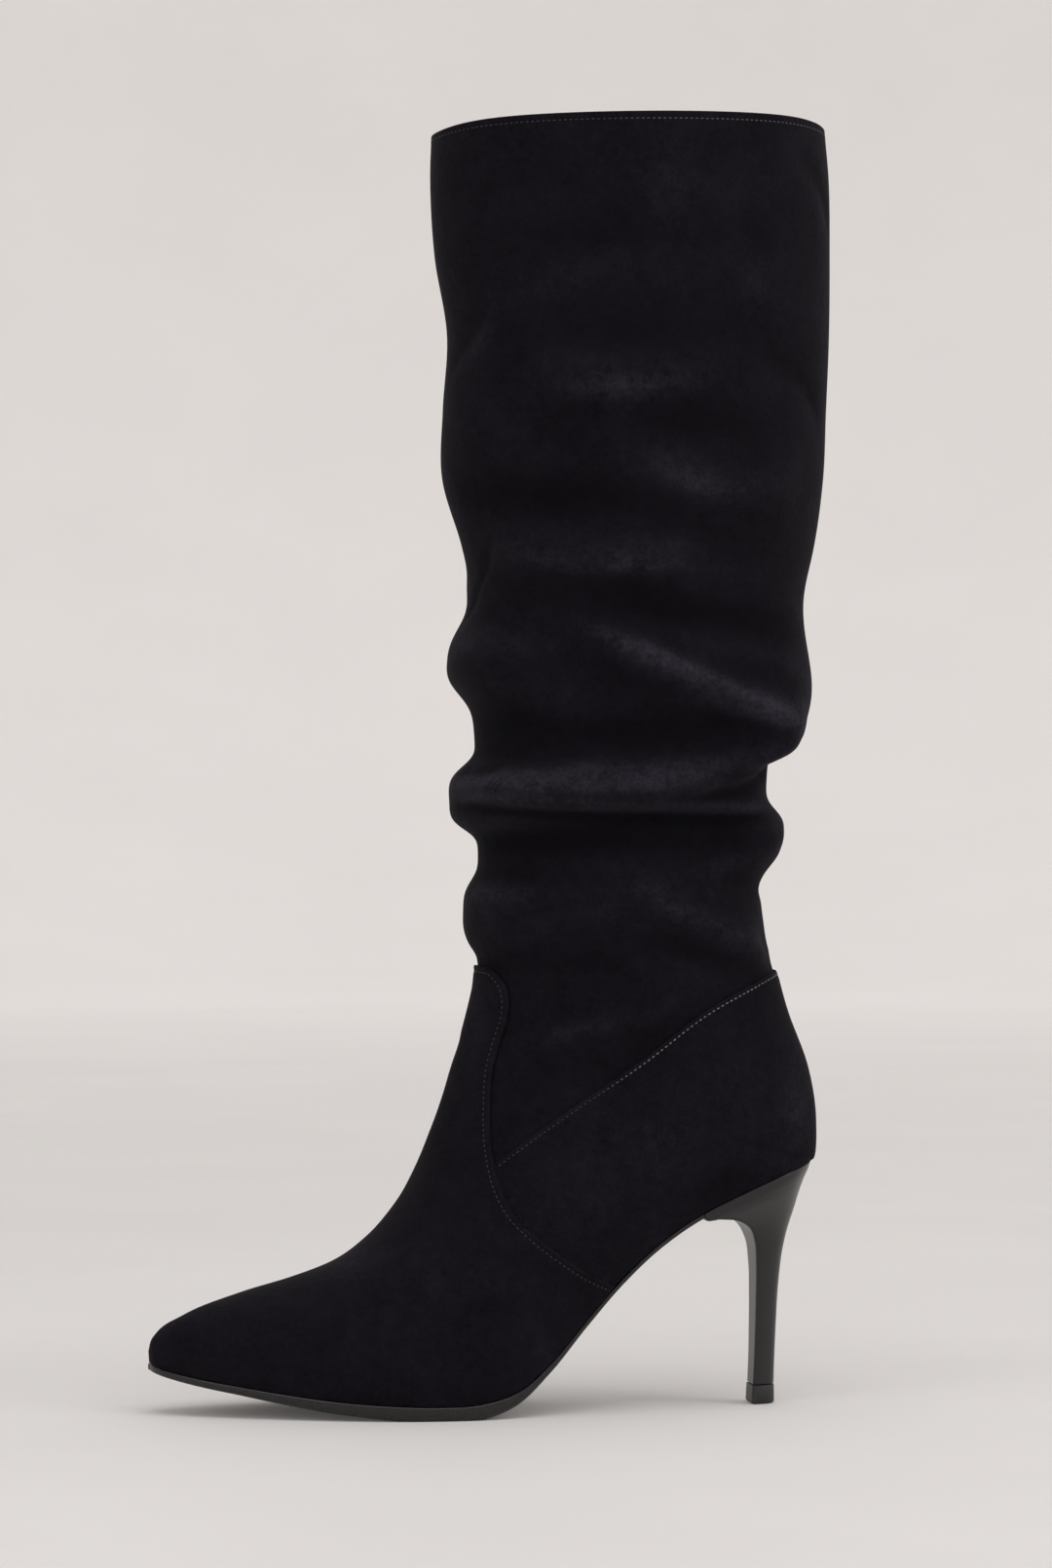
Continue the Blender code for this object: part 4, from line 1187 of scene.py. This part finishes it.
# Add-on
def length_property(name, text, millimetres):
    size = millimetres * MM
    return bpy.props.FloatProperty(name=name, description=text, default=size, unit="LENGTH", min=0.0)


def colour_property(name, text, code):
    shade = linear(code)
    return bpy.props.FloatVectorProperty(name=name, description=text, default=shade, subtype="COLOR", size=3)


def number_property(name, text, value):
    return bpy.props.FloatProperty(name=name, description=text, default=value)


class BootLooks(bpy.types.PropertyGroup):
    """Sizes, colours and lights of the boot."""

    wall: length_property("Wall", "Thickness of suede and lining", 1.6)
    crease_depth: number_property("Crease depth", "Strength of the fine creases", 1.0)
    edge_to_stitch: length_property("Vamp stitch inset", "From the vamp's edge to its stitches", 2.2)
    counter_to_stitch: length_property("Counter stitch inset", "From the counter's seam to its stitches", 1.5)
    collar_to_stitch: length_property("Collar stitch inset", "From the collar's edge to its stitches", 2.0)
    stitch_pitch: length_property("Stitch pitch", "From one stitch to the next", 2.0)
    stitch_length: length_property("Stitch length", "Visible length of a stitch", 1.15)
    thread_thickness: length_property("Thread", "Thickness of the thread", 0.45)
    # The suede's colour runs from dark to light through its own mottling and through painted light and shade:
    # the dark end fills the painted shade in hollows, the light end the painted highlights
    suede_dark: colour_property("Suede, nap down", "Colour of the suede in its hollows", "#07060a")
    suede_light: colour_property("Suede, nap up", "Colour of the suede where it is rubbed", "#322e38")
    suede_sheen: number_property("Suede sheen", "Light caught by the nap", 0.03)
    lining: colour_property("Lining", "Colour of the lining leather", "#121013")
    thread: colour_property("Thread colour", "Colour of the stitches", "#1b1a1e")
    # Colour of the painted highlight on the stitches towards the back of the boot
    thread_highlight: colour_property("Highlit thread", "Colour of the stitches at the back", "#828187")
    sole: colour_property("Sole colour", "Colour of the sole", "#0c0c0d")
    heel: colour_property("Heel colour", "Colour of the heel", "#0d0b0d")
    tip: colour_property("Top piece colour", "Colour of the heel's tip", "#1a1a1b")
    floor: colour_property("Floor colour", "Colour of the floor and backdrop", "#e2dfdd")
    top_light: number_property("Top softbox", "Power of the top light", 22.0)
    right_light: number_property("Right softbox", "Power of the right light", 10.0)
    left_light: number_property("Left softbox", "Power of the left light", 6.0)
    floor_glow: number_property("Backdrop glow", "Light of the lit backdrop", 0.06)
    wall_glow: number_property("Wall glow", "Light of the lit wall", 0.345)
    air_light: number_property("Air", "Strength of the light from all sides", 0.46)


class BOOT_OT_upper(bpy.types.Operator):
    """Builds the leg and foot of the upper with its lining."""

    bl_idname = "boot.upper"
    bl_label = "Upper"

    def execute(self, context):
        build_upper()
        return {"FINISHED"}


class BOOT_OT_vamp(bpy.types.Operator):
    """Builds the vamp laid over the upper."""

    bl_idname = "boot.vamp"
    bl_label = "Vamp"

    def execute(self, context):
        build_vamp()
        return {"FINISHED"}


class BOOT_OT_counter(bpy.types.Operator):
    """Builds the counter round the heel."""

    bl_idname = "boot.counter"
    bl_label = "Counter"

    def execute(self, context):
        build_counter()
        return {"FINISHED"}


class BOOT_OT_stitches(bpy.types.Operator):
    """Lays the rows of stitches."""

    bl_idname = "boot.stitches"
    bl_label = "Stitches"

    def execute(self, context):
        build_stitches()
        return {"FINISHED"}


class BOOT_OT_insole(bpy.types.Operator):
    """Builds the insole."""

    bl_idname = "boot.insole"
    bl_label = "Insole"

    def execute(self, context):
        build_insole()
        return {"FINISHED"}


class BOOT_OT_outsole(bpy.types.Operator):
    """Builds the outsole."""

    bl_idname = "boot.outsole"
    bl_label = "Outsole"

    def execute(self, context):
        build_outsole()
        return {"FINISHED"}


class BOOT_OT_heel(bpy.types.Operator):
    """Builds the heel and its top piece."""

    bl_idname = "boot.heel"
    bl_label = "Heel"

    def execute(self, context):
        build_heel()
        return {"FINISHED"}


class BOOT_OT_stage(bpy.types.Operator):
    """Builds the floor, the lights and the camera."""

    bl_idname = "boot.stage"
    bl_label = "Stage"

    def execute(self, context):
        build_stage()
        return {"FINISHED"}


OPERATORS = [
    BOOT_OT_upper,
    BOOT_OT_vamp,
    BOOT_OT_counter,
    BOOT_OT_stitches,
    BOOT_OT_insole,
    BOOT_OT_outsole,
    BOOT_OT_heel,
    BOOT_OT_stage,
]


class BOOT_PT_panel(bpy.types.Panel):
    """Lists the boot's sizes and the steps that build it."""

    bl_label = "Slouch boot"
    bl_idname = "BOOT_PT_panel"
    bl_space_type = "VIEW_3D"
    bl_region_type = "UI"
    bl_category = "Boot"

    def draw(self, context):
        looks = context.scene.boot_looks
        for key in BootLooks.__annotations__:
            self.layout.prop(looks, key)
        for each in OPERATORS:
            self.layout.operator(each.bl_idname)


CLASSES = [BootLooks, *OPERATORS, BOOT_PT_panel]


def register():
    for each in CLASSES:
        bpy.utils.register_class(each)
    bpy.types.Scene.boot_looks = bpy.props.PointerProperty(type=BootLooks)


def unregister():
    del bpy.types.Scene.boot_looks
    for each in reversed(CLASSES):
        bpy.utils.unregister_class(each)


def main():
    register()
    for each in OPERATORS:
        getattr(bpy.ops.boot, each.bl_idname.split(".")[1])()
    bpy.context.view_layer.update()


if __name__ == "__main__":
    main()
